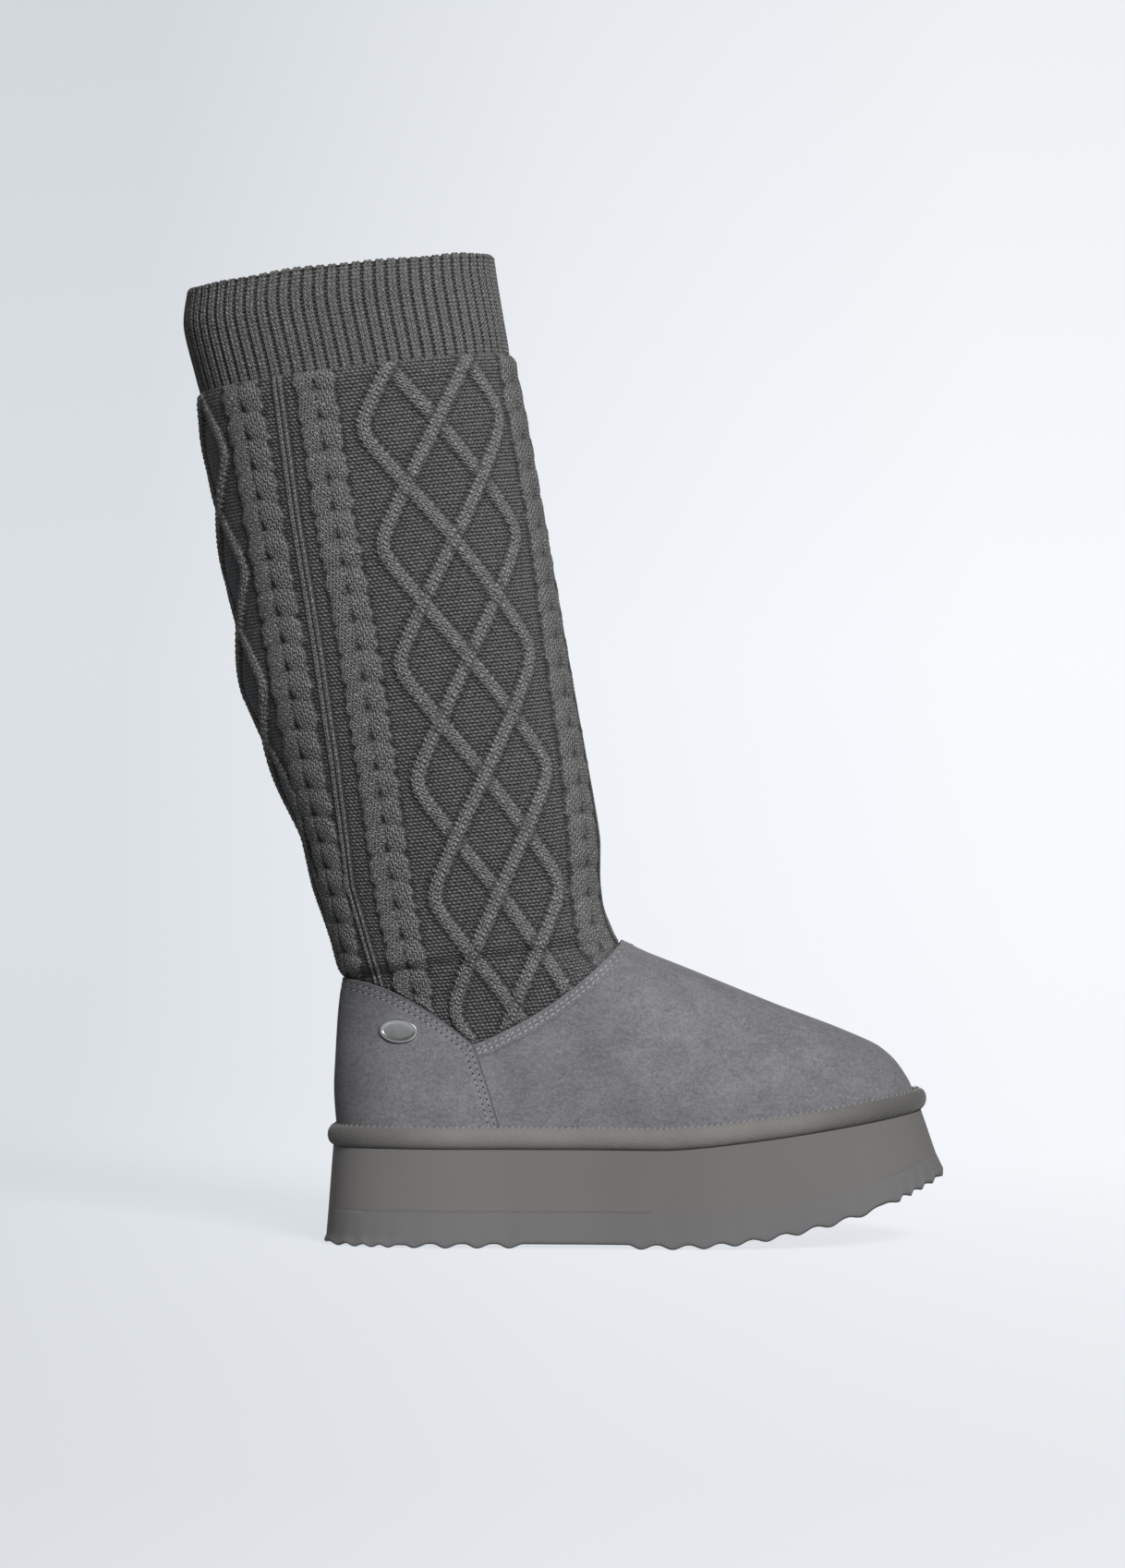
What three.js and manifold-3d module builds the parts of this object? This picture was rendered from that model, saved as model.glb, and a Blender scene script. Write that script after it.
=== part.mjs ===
// Sweater boot, a right shoe: a suede foot on a thick platform sole, with a tall cable-knit shaft
// that ends in a rib cuff. Millimetres. +X points to the toe, +Z up, and the outer side faces -Y.
// The origin is on the floor, at the middle of the heel's flat pad.
import * as THREE from "three";
import { mergeVertices } from "three/addons/utils/BufferGeometryUtils.js";
import Module from "manifold-3d";

const wasm = await Module();
wasm.setup();

// Driving dimensions
const UPPER_LENGTH = 251; // the last, heel to toe, where the upper meets the sole
const BALL_HALF_WIDTH = 45.5; // the last at the ball
const THROAT_HEIGHT = 90; // from the sole's top up to the front of the suede
const TOE_SWING = 6; // how far the toe turns to the inner side
const SWING_START = 0.5; // the share of the length where that turn starts
const SHAFT_HEIGHT = 306; // along the back, from the suede's edge to the collar
const SHAFT_DEPTH = 143; // front to back at the calf
const SHAFT_HALF_WIDTH = 57;
const SHAFT_LEAN = 72; // how far the collar lies behind the heel's edge
const CUFF_DRAW = 0.8; // the ribs draw the cuff in, so the shaft stands proud of it

// Walls and laps
const KNIT_WALL = 2.8;
const SUEDE_WALL = 1.3;
const LINING_WALL = 1.7;
const COUNTER_WALL = 1.3;
const SUEDE_LAP = 8; // how far the knit reaches down behind the suede
const GAP = 0.3; // between pieces that touch

// The sole
const PLATFORM_HEIGHT = 43.3; // floor to the midsole's top, at the heel
const OUTSOLE_HEIGHT = 15.8;
const HEEL_SEAT = 31; // the origin, ahead of the last's heel
const TOE_RISE_TOP = 14.6; // how far each line of the sole has climbed at the last's toe
const TOE_RISE_MIDDLE = 19.3;
const TOE_RISE_BOTTOM = 22.8;
const TREAD_DEPTH = 1.9;
const TOE_TREAD_DEPTH = 2.8;
const ARCH_LIFT = 1.5; // the plain stretch between heel and ball
const SOLE_MARGIN = 6.2; // midsole outside the last, under the welt
const PAD_LENGTH = 30; // flat pads in the tread, at heel and ball
const PAD_WIDTH = 36;
const BALL_PAD = 0.55; // the forefoot pad's place, as a share of the length
const INSOLE_HEIGHT = 5.5;

// The welt: a cord wrapped in tape, round the joint of upper and sole
const WELT_HEIGHT = 9.4;
const WELT_WIDTH = 8.8;
const WELT_OUT = 3.7; // its middle, outside the last
const WELT_RING = 0.3; // the ring of the last that it follows

// The badge on the counter
const BADGE_LENGTH = 16.5;
const BADGE_WIDTH = 10.5;
const BADGE_PLATE = 0.9;
const BADGE_RIM_HEIGHT = 1.6;
const BADGE_RIM_WIDTH = 1.3;
const BADGE_TILT = 0.06;

// How finely curves are cut
const AROUND = 44; // points round the last and the shaft
const SOLE_AROUND = 64;
const WELT_SIDES = 8;
const CURVE_STEPS = 11;
const OVAL_STEPS = 8; // a quarter of the badge's or a pad's edge
const TURN = 0.02; // small steps that a surface's slope is measured over
const RING_STEP = 0.04;
const FAR = 1000; // cutters reach past the boot
const SKIRT = 8; // and the last's form runs down past the sole's top

// Places, from shares of the last's length and of the throat's height
const LAST_BACK = -HEEL_SEAT;
const SOLE_TOP = PLATFORM_HEIGHT + GAP;
const along = (share) => LAST_BACK + UPPER_LENGTH * share;
const above = (share) => SOLE_TOP + THROAT_HEIGHT * share;

// A smooth curve through the points that never swings past them
function monotone(xs, ys) {
  const last = xs.length - 1;
  const slopes = xs.slice(1).map((x, i) => (ys[i + 1] - ys[i]) / (x - xs[i]));
  const tangents = xs.map((x, i) => {
    if (i === 0) return slopes[0];
    if (i === last) return slopes[last - 1];
    const [a, b] = [slopes[i - 1], slopes[i]];
    return a * b <= 0 ? 0 : (2 * a * b) / (a + b);
  });
  return (x) => {
    const at = Math.min(Math.max(x, xs[0]), xs[last]);
    const i = Math.min(xs.findLastIndex((k) => k <= at), last - 1);
    const width = xs[i + 1] - xs[i];
    const t = (at - xs[i]) / width;
    const rise = (t * t * (3 - 2 * t)) * (ys[i + 1] - ys[i]);
    const bend = t * (1 - t) * ((1 - t) * tangents[i] - t * tangents[i + 1]) * width;
    return ys[i] + rise + bend;
  };
}

// One monotone curve for each column of a table, read at a row's number
function columns(rows) {
  const curves = {};
  for (const name of Object.keys(rows[0])) {
    curves[name] = monotone(rows.map((row, i) => i), rows.map((row) => row[name]));
  }
  return curves;
}

const mix = (a, b, t) => a + (b - a) * t;
const smooth = (t) => {
  const k = Math.min(Math.max(t, 0), 1);
  return k * k * (3 - 2 * k);
};

// The sole's lines seen from the side. Each is level under the heel and climbs to the toe.
const climb = (x, start, power) => {
  const share = (x - LAST_BACK) / UPPER_LENGTH;
  return Math.max(0, (share - start) / (1 - start)) ** power;
};
const topRise = (x) => TOE_RISE_TOP * climb(x, 0.562, 1.3);
const soleTop = (x) => PLATFORM_HEIGHT + topRise(x);
const outsoleTop = (x) => OUTSOLE_HEIGHT + TOE_RISE_MIDDLE * climb(x, 0.602, 1.95);
const treadBase = (x) => TOE_RISE_BOTTOM * climb(x, 0.57, 2);

// The last's plan at the sole: half-widths as shares of a superellipse's, from heel to toe
const PLAN = [
  { along: 0.0, outer: 1.0, inner: 1.0 },
  { along: 0.07, outer: 0.94, inner: 0.94 },
  { along: 0.16, outer: 0.88, inner: 0.87 },
  { along: 0.3, outer: 0.77, inner: 0.69 },
  { along: 0.42, outer: 0.79, inner: 0.65 },
  { along: 0.55, outer: 0.91, inner: 0.77 },
  { along: 0.65, outer: 1.02, inner: 0.91 },
  { along: 0.73, outer: 1.07, inner: 1.0 },
  { along: 0.82, outer: 1.12, inner: 1.07 },
  { along: 0.9, outer: 1.14, inner: 1.11 },
  { along: 1.0, outer: 1.06, inner: 1.12 },
];
const planOuter = monotone(PLAN.map((row) => row.along), PLAN.map((row) => row.outer));
const planInner = monotone(PLAN.map((row) => row.along), PLAN.map((row) => row.inner));

// Rings of the foot, from the sole up to the suede's edge. back and front are places along
// UPPER_LENGTH, low and high the heights there as shares of THROAT_HEIGHT, half is a share of
// BALL_HALF_WIDTH, last says how much of the plan's shape the ring keeps, follow how much of the
// sole's rise at the toe, and round is the exponent of its rounded ends.
const FOOT_RINGS = [
  { back: 0.002, front: 0.998, low: 0.0, high: 0.0, half: 0.965, last: 1, follow: 1, round: 2.5 },
  { back: -0.0056, front: 1.0, low: 0.15, high: 0.087, half: 1.0, last: 0.95, follow: 1, round: 2.45 },
  { back: -0.0084, front: 0.982, low: 0.293, high: 0.218, half: 0.985, last: 0.85, follow: 0.9, round: 2.4 },
  { back: -0.0068, front: 0.95, low: 0.416, high: 0.341, half: 0.935, last: 0.65, follow: 0.8, round: 2.35 },
  { back: -0.0048, front: 0.873, low: 0.527, high: 0.493, half: 0.87, last: 0.4, follow: 0.6, round: 2.25 },
  { back: -0.002, front: 0.745, low: 0.638, high: 0.675, half: 0.82, last: 0.2, follow: 0.35, round: 2.2 },
  { back: 0.002, front: 0.606, low: 0.738, high: 0.85, half: 0.8, last: 0.08, follow: 0.1, round: 2.15 },
  { back: 0.0064, front: 0.481, low: 0.821, high: 0.996, half: 0.805, last: 0, follow: 0, round: 2.15 },
];
const THROAT_RING = FOOT_RINGS.length - 1;
// Above the suede's edge the foot's form runs on up the instep's slope, for the cutters only
const FOOT_ABOVE = [
  { back: 0.011, front: 0.385, low: 0.92, high: 1.13, half: 0.8, last: 0, follow: 0, round: 2.15 },
  { back: 0.016, front: 0.29, low: 1.02, high: 1.25, half: 0.78, last: 0, follow: 0, round: 2.15 },
];

// Rings of the shaft, from the suede's edge up to the collar. rise is a share of SHAFT_HEIGHT at
// the back, lean of SHAFT_LEAN, depth and tilt of SHAFT_DEPTH, half of SHAFT_HALF_WIDTH, and
// round is the exponent of the ring's ends.
const SHAFT_RINGS = [
  { rise: 0.0163, lean: 0.042, depth: 0.827, tilt: 0.129, half: 0.695, round: 2.2 },
  { rise: 0.044, lean: 0.081, depth: 0.822, tilt: 0.147, half: 0.7, round: 2.15 },
  { rise: 0.089, lean: 0.138, depth: 0.843, tilt: 0.135, half: 0.715, round: 2.1 },
  { rise: 0.133, lean: 0.2, depth: 0.8755, tilt: 0.127, half: 0.735, round: 2.1 },
  { rise: 0.199, lean: 0.276, depth: 0.894, tilt: 0.126, half: 0.77, round: 2.1 },
  { rise: 0.2935, lean: 0.449, depth: 0.945, tilt: 0.126, half: 0.82, round: 2.1 },
  { rise: 0.371, lean: 0.575, depth: 0.979, tilt: 0.126, half: 0.865, round: 2.1 },
  { rise: 0.423, lean: 0.653, depth: 0.998, tilt: 0.129, half: 0.895, round: 2.1 },
  { rise: 0.5065, lean: 0.697, depth: 0.99, tilt: 0.129, half: 0.93, round: 2.1 },
  { rise: 0.6225, lean: 0.785, depth: 0.99, tilt: 0.129, half: 0.965, round: 2.1 },
  { rise: 0.76, lean: 0.878, depth: 0.985, tilt: 0.128, half: 0.985, round: 2.1 },
  { rise: 0.849, lean: 0.933, depth: 0.972, tilt: 0.124, half: 0.99, round: 2.1 },
  { rise: 0.9526, lean: 1.033, depth: 0.985, tilt: 0.119, half: 1.0, round: 2.1 },
  { rise: 1.0, lean: 1.008, depth: 0.959, tilt: 0.108, half: 0.98, round: 2.1 },
];
const CUFF_ROW = 11; // the row at the cuff's lower edge

// Every ring in one set of real sizes, so that foot and shaft are read alike
const footRow = (row) => ({
  backX: LAST_BACK + UPPER_LENGTH * row.back,
  frontX: LAST_BACK + UPPER_LENGTH * row.front,
  backZ: SOLE_TOP + THROAT_HEIGHT * row.low,
  frontZ: SOLE_TOP + THROAT_HEIGHT * row.high,
  half: BALL_HALF_WIDTH * row.half,
  last: row.last,
  follow: row.follow,
  round: row.round,
});
const footRows = FOOT_RINGS.map(footRow);
const throat = footRows[THROAT_RING];
const shaftRow = (row) => {
  const backX = throat.backX - SHAFT_LEAN * row.lean;
  const backZ = throat.backZ + SHAFT_HEIGHT * row.rise;
  return {
    backX,
    frontX: backX + SHAFT_DEPTH * row.depth,
    backZ,
    frontZ: backZ + SHAFT_DEPTH * row.tilt,
    half: SHAFT_HALF_WIDTH * row.half,
    last: 0,
    follow: 0,
    round: row.round,
  };
};
const footForm = columns([...footRows, ...FOOT_ABOVE.map(footRow)]);
const legForm = columns([...footRows, ...SHAFT_RINGS.map(shaftRow)]);
const COLLAR_RING = THROAT_RING + SHAFT_RINGS.length;
const FOOT_END = THROAT_RING + FOOT_ABOVE.length;

// A point of a form at a ring's number and an angle, 0 at the heel, a half turn at the toe
function formPoint(form, ring, angle) {
  const [cosine, sine] = [Math.cos(angle), Math.sin(angle)];
  const power = 2 / form.round(ring);
  const place = (1 - Math.sign(cosine) * Math.abs(cosine) ** power) / 2;
  const plan = sine > 0 ? planOuter(place) : planInner(place);
  const share = mix(1, plan, form.last(ring)) * Math.abs(sine) ** power;
  const x = mix(form.backX(ring), form.frontX(ring), place);
  const swing = TOE_SWING * smooth((x - along(SWING_START)) / (along(1) - along(SWING_START)));
  const y = swing - Math.sign(sine) * form.half(ring) * share;
  const z = mix(form.backZ(ring), form.frontZ(ring), place) + form.follow(ring) * topRise(x);
  return new THREE.Vector3(x, y, z);
}

// The same point moved straight out of the surface
function offsetPoint(form, ring, angle, out) {
  const point = formPoint(form, ring, angle);
  const round = formPoint(form, ring, angle + TURN).sub(formPoint(form, ring, angle - TURN));
  const up = formPoint(form, ring + RING_STEP, angle).sub(formPoint(form, ring - RING_STEP, angle));
  return point.add(round.cross(up).normalize().multiplyScalar(out));
}

// A point of the last near the sole, with the level direction that points away from the foot
function edgePoint(ring, angle) {
  const place = formPoint(footForm, ring, angle);
  const round = formPoint(footForm, ring, angle + TURN).sub(formPoint(footForm, ring, angle - TURN));
  return { place, out: new THREE.Vector3(round.y, -round.x, 0).normalize() };
}

// Solids from closed geometry
function solidOf(geometry) {
  const bare = new THREE.BufferGeometry().setAttribute("position", geometry.getAttribute("position"));
  bare.setIndex(geometry.index);
  const merged = mergeVertices(bare, 1e-3);
  return new wasm.Manifold(new wasm.Mesh({
    numProp: 3,
    vertProperties: merged.attributes.position.array,
    triVerts: new Uint32Array(merged.index.array),
  }));
}

// A stack of rings skinned into one solid. A cap joins each point to the one across the ring.
function stack(rings) {
  const count = rings[0].length;
  const at = (level, i) => level * count + (i % count);
  const faces = [];
  const triangle = (a, b, c) => {
    if (a !== b && b !== c && c !== a) faces.push(a, b, c);
  };
  const quad = (a, b, c, d) => {
    triangle(a, b, c);
    triangle(a, c, d);
  };
  for (let level = 0; level < rings.length - 1; level++) {
    for (let i = 0; i < count; i++) {
      quad(at(level, i), at(level, i + 1), at(level + 1, i + 1), at(level + 1, i));
    }
  }
  const top = rings.length - 1;
  for (let i = 0; i < count / 2; i++) {
    const across = count - i;
    quad(at(0, i + 1), at(0, i), at(0, across), at(0, across - 1));
    quad(at(top, i), at(top, i + 1), at(top, across - 1), at(top, across));
  }
  return solidOf(new THREE.BufferGeometry().setFromPoints(rings.flat()).setIndex(faces));
}

const angles = (count) => Array.from({ length: count }, (v, i) => (i / count) * 2 * Math.PI);

// The foot's form grown by a distance. It starts below the sole's top, straight down.
function footSolid(out) {
  const levels = [0, 0.6, 1.2, 1.8, 2.4, 3, 3.7, 4.4, 5.2, 6, THROAT_RING, 8, FOOT_END];
  const rings = levels.map((ring) => angles(AROUND).map((a) => offsetPoint(footForm, ring, a, out)));
  const foot = rings[0].map((p) => new THREE.Vector3(p.x, p.y, p.z - SKIRT));
  return stack([foot, ...rings]);
}

// The leg's form between two rings, grown by a distance that may change with the ring
function legSolid(levels, out) {
  return stack(levels.map((ring) => angles(AROUND).map((a) => offsetPoint(legForm, ring, a, out(ring)))));
}

// A shape drawn from the side, cut right through the boot
function sideCutter(points) {
  const shape = new THREE.Shape(points.map(([x, z]) => new THREE.Vector2(x, z)));
  const slab = new THREE.ExtrudeGeometry(shape, { depth: FAR, bevelEnabled: false, steps: 1 });
  slab.rotateX(Math.PI / 2).translate(0, FAR / 2, 0);
  return solidOf(slab);
}

const curve = (from, bend, to) => {
  const path = new THREE.QuadraticBezierCurve(
    new THREE.Vector2(...from), new THREE.Vector2(...bend), new THREE.Vector2(...to));
  return path.getPoints(CURVE_STEPS).map((p) => [p.x, p.y]);
};

// The suede's upper edge from the side: counter, notch, vamp
const NOTCH = [along(0.2275), above(0.5056)];
const counterTop = curve([along(-0.014), above(0.827)], [along(0.0996), above(0.804)], NOTCH);
const vampTop = curve(NOTCH, [along(0.3705), above(0.66)], [throat.frontX + SUEDE_WALL, throat.frontZ + GAP]);
const counterFront = curve(NOTCH, [along(0.257), above(0.293)], [along(0.285), above(-0.018)]);
const topline = [...counterTop, ...vampTop.slice(1)];

// A line seen from the side, moved square to itself
function shifted(line, distance) {
  return line.map(([x, z], i) => {
    const before = line[Math.max(i - 1, 0)];
    const after = line[Math.min(i + 1, line.length - 1)];
    const [dx, dz] = [after[0] - before[0], after[1] - before[1]];
    const length = Math.hypot(dx, dz);
    return [x + (dz / length) * distance, z - (dx / length) * distance];
  });
}

// Everything on the upper side of a line that runs from heel to toe
function aboveLine(line) {
  const [start, end] = [line[0], line.at(-1)];
  return sideCutter([...line, [end[0], FAR], [-FAR, FAR], [-FAR, start[1]]]);
}

// A height along the whole sole as a line, and the space between two such lines
function soleLine(height) {
  const steps = CURVE_STEPS * 3;
  return Array.from({ length: steps + 1 }, (v, i) => {
    const x = along(mix(-0.1, 1.15, i / steps));
    return [x, height(x)];
  });
}
const soleBand = (low, high) => sideCutter([...low, ...high.toReversed()]);

// Tread seen from the side: ribs with flat feet under heel and ball, plain at the arch, teeth at
// the toe. from and to are places along UPPER_LENGTH.
const TREAD = [
  { from: -0.03, to: 0.09, ribs: 4, depth: TREAD_DEPTH, lift: 0 },
  { from: 0.09, to: 0.32, ribs: 4, depth: TREAD_DEPTH, lift: 0 },
  { from: 0.32, to: 0.5, ribs: 1, depth: 0, lift: ARCH_LIFT },
  { from: 0.5, to: 0.91, ribs: 7, depth: TREAD_DEPTH, lift: 0 },
  { from: 0.91, to: 1.08, ribs: 7, depth: TOE_TREAD_DEPTH, lift: 0 },
];
const RIB_FLAT = 0.34; // the share of a rib's width that stands flat on the floor
const RIB_EDGE = (1 - RIB_FLAT) / 2;
const RIB_STATIONS = [0, RIB_EDGE / 2, RIB_EDGE, 1 - RIB_EDGE, 1 - RIB_EDGE / 2];
const RIB_CURVE = 1.6;
function treadLine() {
  return TREAD.flatMap((zone) => {
    const pitch = (zone.to - zone.from) / zone.ribs;
    const ribs = Array.from({ length: zone.ribs }, (v, rib) => RIB_STATIONS.map((t) => {
      const x = along(zone.from + pitch * (rib + t));
      const slope = Math.max(0, (Math.abs(2 * t - 1) - RIB_FLAT) / (1 - RIB_FLAT));
      return [x, treadBase(x) + zone.lift + zone.depth * slope ** RIB_CURVE];
    }));
    return ribs.flat();
  });
}

// The sole's plan, flared towards the floor: a little at heel and sides, strongly at the toe
const FLARE = { heel: 0.075, side: 0.07, toe: 0.34 };
function soleBlock() {
  const ring = (height) => angles(SOLE_AROUND).map((angle) => {
    const { place, out } = edgePoint(0, angle);
    const toe = smooth(-Math.cos(angle) * 1.7 - 0.7);
    const heel = smooth(Math.cos(angle) * 2 - 1);
    const flare = mix(mix(FLARE.side, FLARE.heel, heel), FLARE.toe, toe);
    const reach = SOLE_MARGIN + flare * (soleTop(place.x) - height);
    return new THREE.Vector3(place.x + out.x * reach, place.y + out.y * reach, height);
  });
  return stack([ring(-TREAD_DEPTH), ring(PLATFORM_HEIGHT + TOE_RISE_TOP * 2)]);
}

function oval(length, width, depth) {
  const shape = new THREE.Shape().absellipse(0, 0, length / 2, width / 2, 0, Math.PI * 2);
  return new THREE.ExtrudeGeometry(shape, { depth, bevelEnabled: false, curveSegments: OVAL_STEPS * 2 });
}

// Pieces, from the floor up
const block = soleBlock();

function makeOutsole() {
  const ribs = block.intersect(soleBand(treadLine(), soleLine(outsoleTop)));
  const pad = (x) => solidOf(oval(PAD_LENGTH, PAD_WIDTH, OUTSOLE_HEIGHT / 2).translate(x, 0, 0));
  return ribs.add(pad(0)).add(pad(along(BALL_PAD)));
}

function makeMidsole() {
  return block.intersect(soleBand(soleLine((x) => outsoleTop(x) + GAP), soleLine(soleTop)));
}

// Faces of the walls, measured out from the last
const liningFace = GAP - LINING_WALL;
const suedeFace = GAP + SUEDE_WALL;
const counterBack = suedeFace + GAP;
const counterFace = counterBack + COUNTER_WALL;
const aboveSole = aboveLine(soleLine((x) => soleTop(x) + GAP));
const lapLine = shifted(topline, SUEDE_LAP);

function makeInsole() {
  const bed = soleBand(soleLine((x) => soleTop(x) + GAP), soleLine((x) => soleTop(x) + GAP + INSOLE_HEIGHT));
  return footSolid(liningFace - GAP).intersect(bed);
}

function makeUpper() {
  const wall = footSolid(suedeFace).subtract(footSolid(liningFace));
  const seat = footSolid(GAP).intersect(aboveLine(shifted(topline, SUEDE_LAP + GAP)));
  return wall.subtract(seat).intersect(aboveSole).subtract(aboveLine(topline));
}

// The counter's outline from the side, grown by a margin
function counterPrism(margin) {
  const edge = shifted([...counterTop, ...counterFront.slice(1)], -margin);
  const foot = edge.at(-1);
  return sideCutter([...edge, [foot[0] + margin, 0], [-FAR, 0], [-FAR, edge[0][1]]]);
}

function makeCounter() {
  const wall = footSolid(counterFace).subtract(footSolid(counterBack));
  return wall.intersect(counterPrism(0)).intersect(aboveSole);
}

function makeWelt() {
  const stations = angles(AROUND).map((angle) => edgePoint(WELT_RING, angle));
  const rings = angles(WELT_SIDES).map((side) => stations.map(({ place, out }) => {
    const point = place.clone().addScaledVector(out, WELT_OUT + (WELT_WIDTH / 2) * Math.cos(side));
    point.z = soleTop(point.x) + GAP + (WELT_HEIGHT / 2) * (1 + Math.sin(side));
    return point;
  }));
  const faces = [];
  rings.forEach((ring, level) => ring.forEach((p, i) => {
    const at = (l, k) => (l % WELT_SIDES) * AROUND + (k % AROUND);
    const [a, b, c, d] = [at(level, i), at(level, i + 1), at(level + 1, i + 1), at(level + 1, i)];
    faces.push(a, b, c, a, c, d);
  }));
  const tube = new THREE.BufferGeometry().setFromPoints(rings.flat()).setIndex(faces);
  const behind = footSolid(counterFace + GAP).intersect(counterPrism(GAP));
  return solidOf(tube).subtract(footSolid(suedeFace + GAP)).subtract(behind);
}

// The knitted tube: the shaft, and the cuff as a step in its wall
function makeShaft() {
  const cuffRing = THROAT_RING + 1 + CUFF_ROW;
  const plain = [2.6, 3.3, 4, 4.7, 5.4, 6.2];
  for (let ring = THROAT_RING; ring < cuffRing; ring++) plain.push(ring);
  const cuff = [cuffRing, cuffRing + 0.08, cuffRing + 1, COLLAR_RING - 0.1, COLLAR_RING];
  const outer = legSolid([...plain, ...cuff], (ring) => {
    if (ring === COLLAR_RING) return -KNIT_WALL / 3;
    return ring > cuffRing ? -CUFF_DRAW : 0;
  });
  const inner = legSolid([2, ...plain, ...cuff, COLLAR_RING + 0.1], (ring) => {
    return ring === COLLAR_RING ? CUFF_DRAW - KNIT_WALL : -KNIT_WALL;
  });
  return outer.subtract(inner).intersect(aboveLine(lapLine));
}

// A plain oval badge with a raised rim, bent to the counter
function makeBadge() {
  const back = counterFace + GAP;
  const pillar = (length, width) => {
    const upright = oval(length, width, FAR).rotateX(Math.PI / 2).rotateY(-BADGE_TILT);
    return solidOf(upright.translate(along(0.0976), 0, above(0.573)));
  };
  const outline = pillar(BADGE_LENGTH, BADGE_WIDTH);
  const middle = pillar(BADGE_LENGTH - 2 * BADGE_RIM_WIDTH, BADGE_WIDTH - 2 * BADGE_RIM_WIDTH);
  const layer = (height) => footSolid(back + height).subtract(footSolid(back));
  const rim = layer(BADGE_RIM_HEIGHT).intersect(outline.subtract(middle));
  return rim.add(layer(BADGE_PLATE).intersect(outline));
}

// Each solid as a named mesh in its own colour
const SUEDE = { color: 0x6f6e73, roughness: 0.95, metalness: 0 };
const KNIT = { color: 0x4f4f51, roughness: 1, metalness: 0 };
const PIECES = [
  ["outsole", makeOutsole, { color: 0x68666a, roughness: 0.75, metalness: 0 }],
  ["midsole", makeMidsole, { color: 0x6b6764, roughness: 0.65, metalness: 0 }],
  ["insole", makeInsole, { color: 0x5f5e62, roughness: 1, metalness: 0 }],
  ["upper", makeUpper, SUEDE],
  ["heel_counter", makeCounter, SUEDE],
  ["welt", makeWelt, { color: 0x726e6a, roughness: 0.9, metalness: 0 }],
  ["knit_shaft", makeShaft, KNIT],
  ["badge", makeBadge, { color: 0xc9c9cc, roughness: 0.25, metalness: 1 }],
];

const boot = new THREE.Group();
for (const [name, make, look] of PIECES) {
  const { vertProperties, triVerts } = make().getMesh();
  const geometry = new THREE.BufferGeometry();
  geometry.setAttribute("position", new THREE.BufferAttribute(vertProperties, 3));
  geometry.setIndex(new THREE.BufferAttribute(triVerts, 1));
  geometry.computeVertexNormals();
  const mesh = new THREE.Mesh(geometry, new THREE.MeshStandardMaterial(look));
  mesh.name = name;
  boot.add(mesh);
}

export default boot;
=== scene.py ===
import math

import bpy
import numpy as np
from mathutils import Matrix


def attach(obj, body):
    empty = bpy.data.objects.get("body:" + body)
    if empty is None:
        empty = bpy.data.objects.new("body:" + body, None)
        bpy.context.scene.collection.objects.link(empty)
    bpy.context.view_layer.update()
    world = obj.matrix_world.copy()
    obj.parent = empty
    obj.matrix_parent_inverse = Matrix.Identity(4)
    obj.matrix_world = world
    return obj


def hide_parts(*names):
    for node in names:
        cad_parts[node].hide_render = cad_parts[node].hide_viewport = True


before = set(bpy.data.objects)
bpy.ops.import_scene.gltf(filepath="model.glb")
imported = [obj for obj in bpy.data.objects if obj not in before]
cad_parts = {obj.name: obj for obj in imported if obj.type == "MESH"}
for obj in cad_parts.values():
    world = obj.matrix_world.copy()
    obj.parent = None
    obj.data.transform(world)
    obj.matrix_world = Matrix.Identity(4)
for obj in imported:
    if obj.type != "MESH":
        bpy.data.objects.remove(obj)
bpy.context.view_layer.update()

# The last. The foot form that the boot is made over isn't part of the boot, but every piece is
# cut to it: rings run from the sole up to the suede's edge, and on up the shaft to the collar.
# Angles run round each ring, 0 at the heel and a half turn at the toe, by the outer side.
MM = 0.001
last_back, upper_length = -31 * MM, 251 * MM
ball_half_width, throat_height, toe_swing = 45.5 * MM, 90 * MM, 6 * MM
shaft_height, shaft_depth, shaft_half_width, shaft_lean = 306 * MM, 143 * MM, 57 * MM, 72 * MM
platform_height, gap = 43.3 * MM, 0.3 * MM
toe_spring, toe_spring_start = 14.6 * MM, 0.562

# Columns: place along the last, then outer and inner half-widths as shares
LAST_PLAN = np.array([
    [0.0, 1.0, 1.0], [0.07, 0.94, 0.94], [0.16, 0.88, 0.87], [0.3, 0.77, 0.69], [0.42, 0.79, 0.65],
    [0.55, 0.91, 0.77], [0.65, 1.02, 0.91], [0.73, 1.07, 1.0], [0.82, 1.12, 1.07], [0.9, 1.14, 1.11],
    [1.0, 1.06, 1.12],
])
# Columns: back, front, low, high, half, last, follow, round
FOOT_RINGS = np.array([
    [0.002, 0.998, 0.0, 0.0, 0.965, 1, 1, 2.5],
    [-0.0056, 1.0, 0.15, 0.087, 1.0, 0.95, 1, 2.45],
    [-0.0084, 0.982, 0.293, 0.218, 0.985, 0.85, 0.9, 2.4],
    [-0.0068, 0.95, 0.416, 0.341, 0.935, 0.65, 0.8, 2.35],
    [-0.0048, 0.873, 0.527, 0.493, 0.87, 0.4, 0.6, 2.25],
    [-0.002, 0.745, 0.638, 0.675, 0.82, 0.2, 0.35, 2.2],
    [0.002, 0.606, 0.738, 0.85, 0.8, 0.08, 0.1, 2.15],
    [0.0064, 0.481, 0.821, 0.996, 0.805, 0, 0, 2.15],
    [0.011, 0.385, 0.92, 1.13, 0.8, 0, 0, 2.15],
    [0.016, 0.29, 1.02, 1.25, 0.78, 0, 0, 2.15],
])
THROAT = 7  # the ring at the suede's edge
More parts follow.
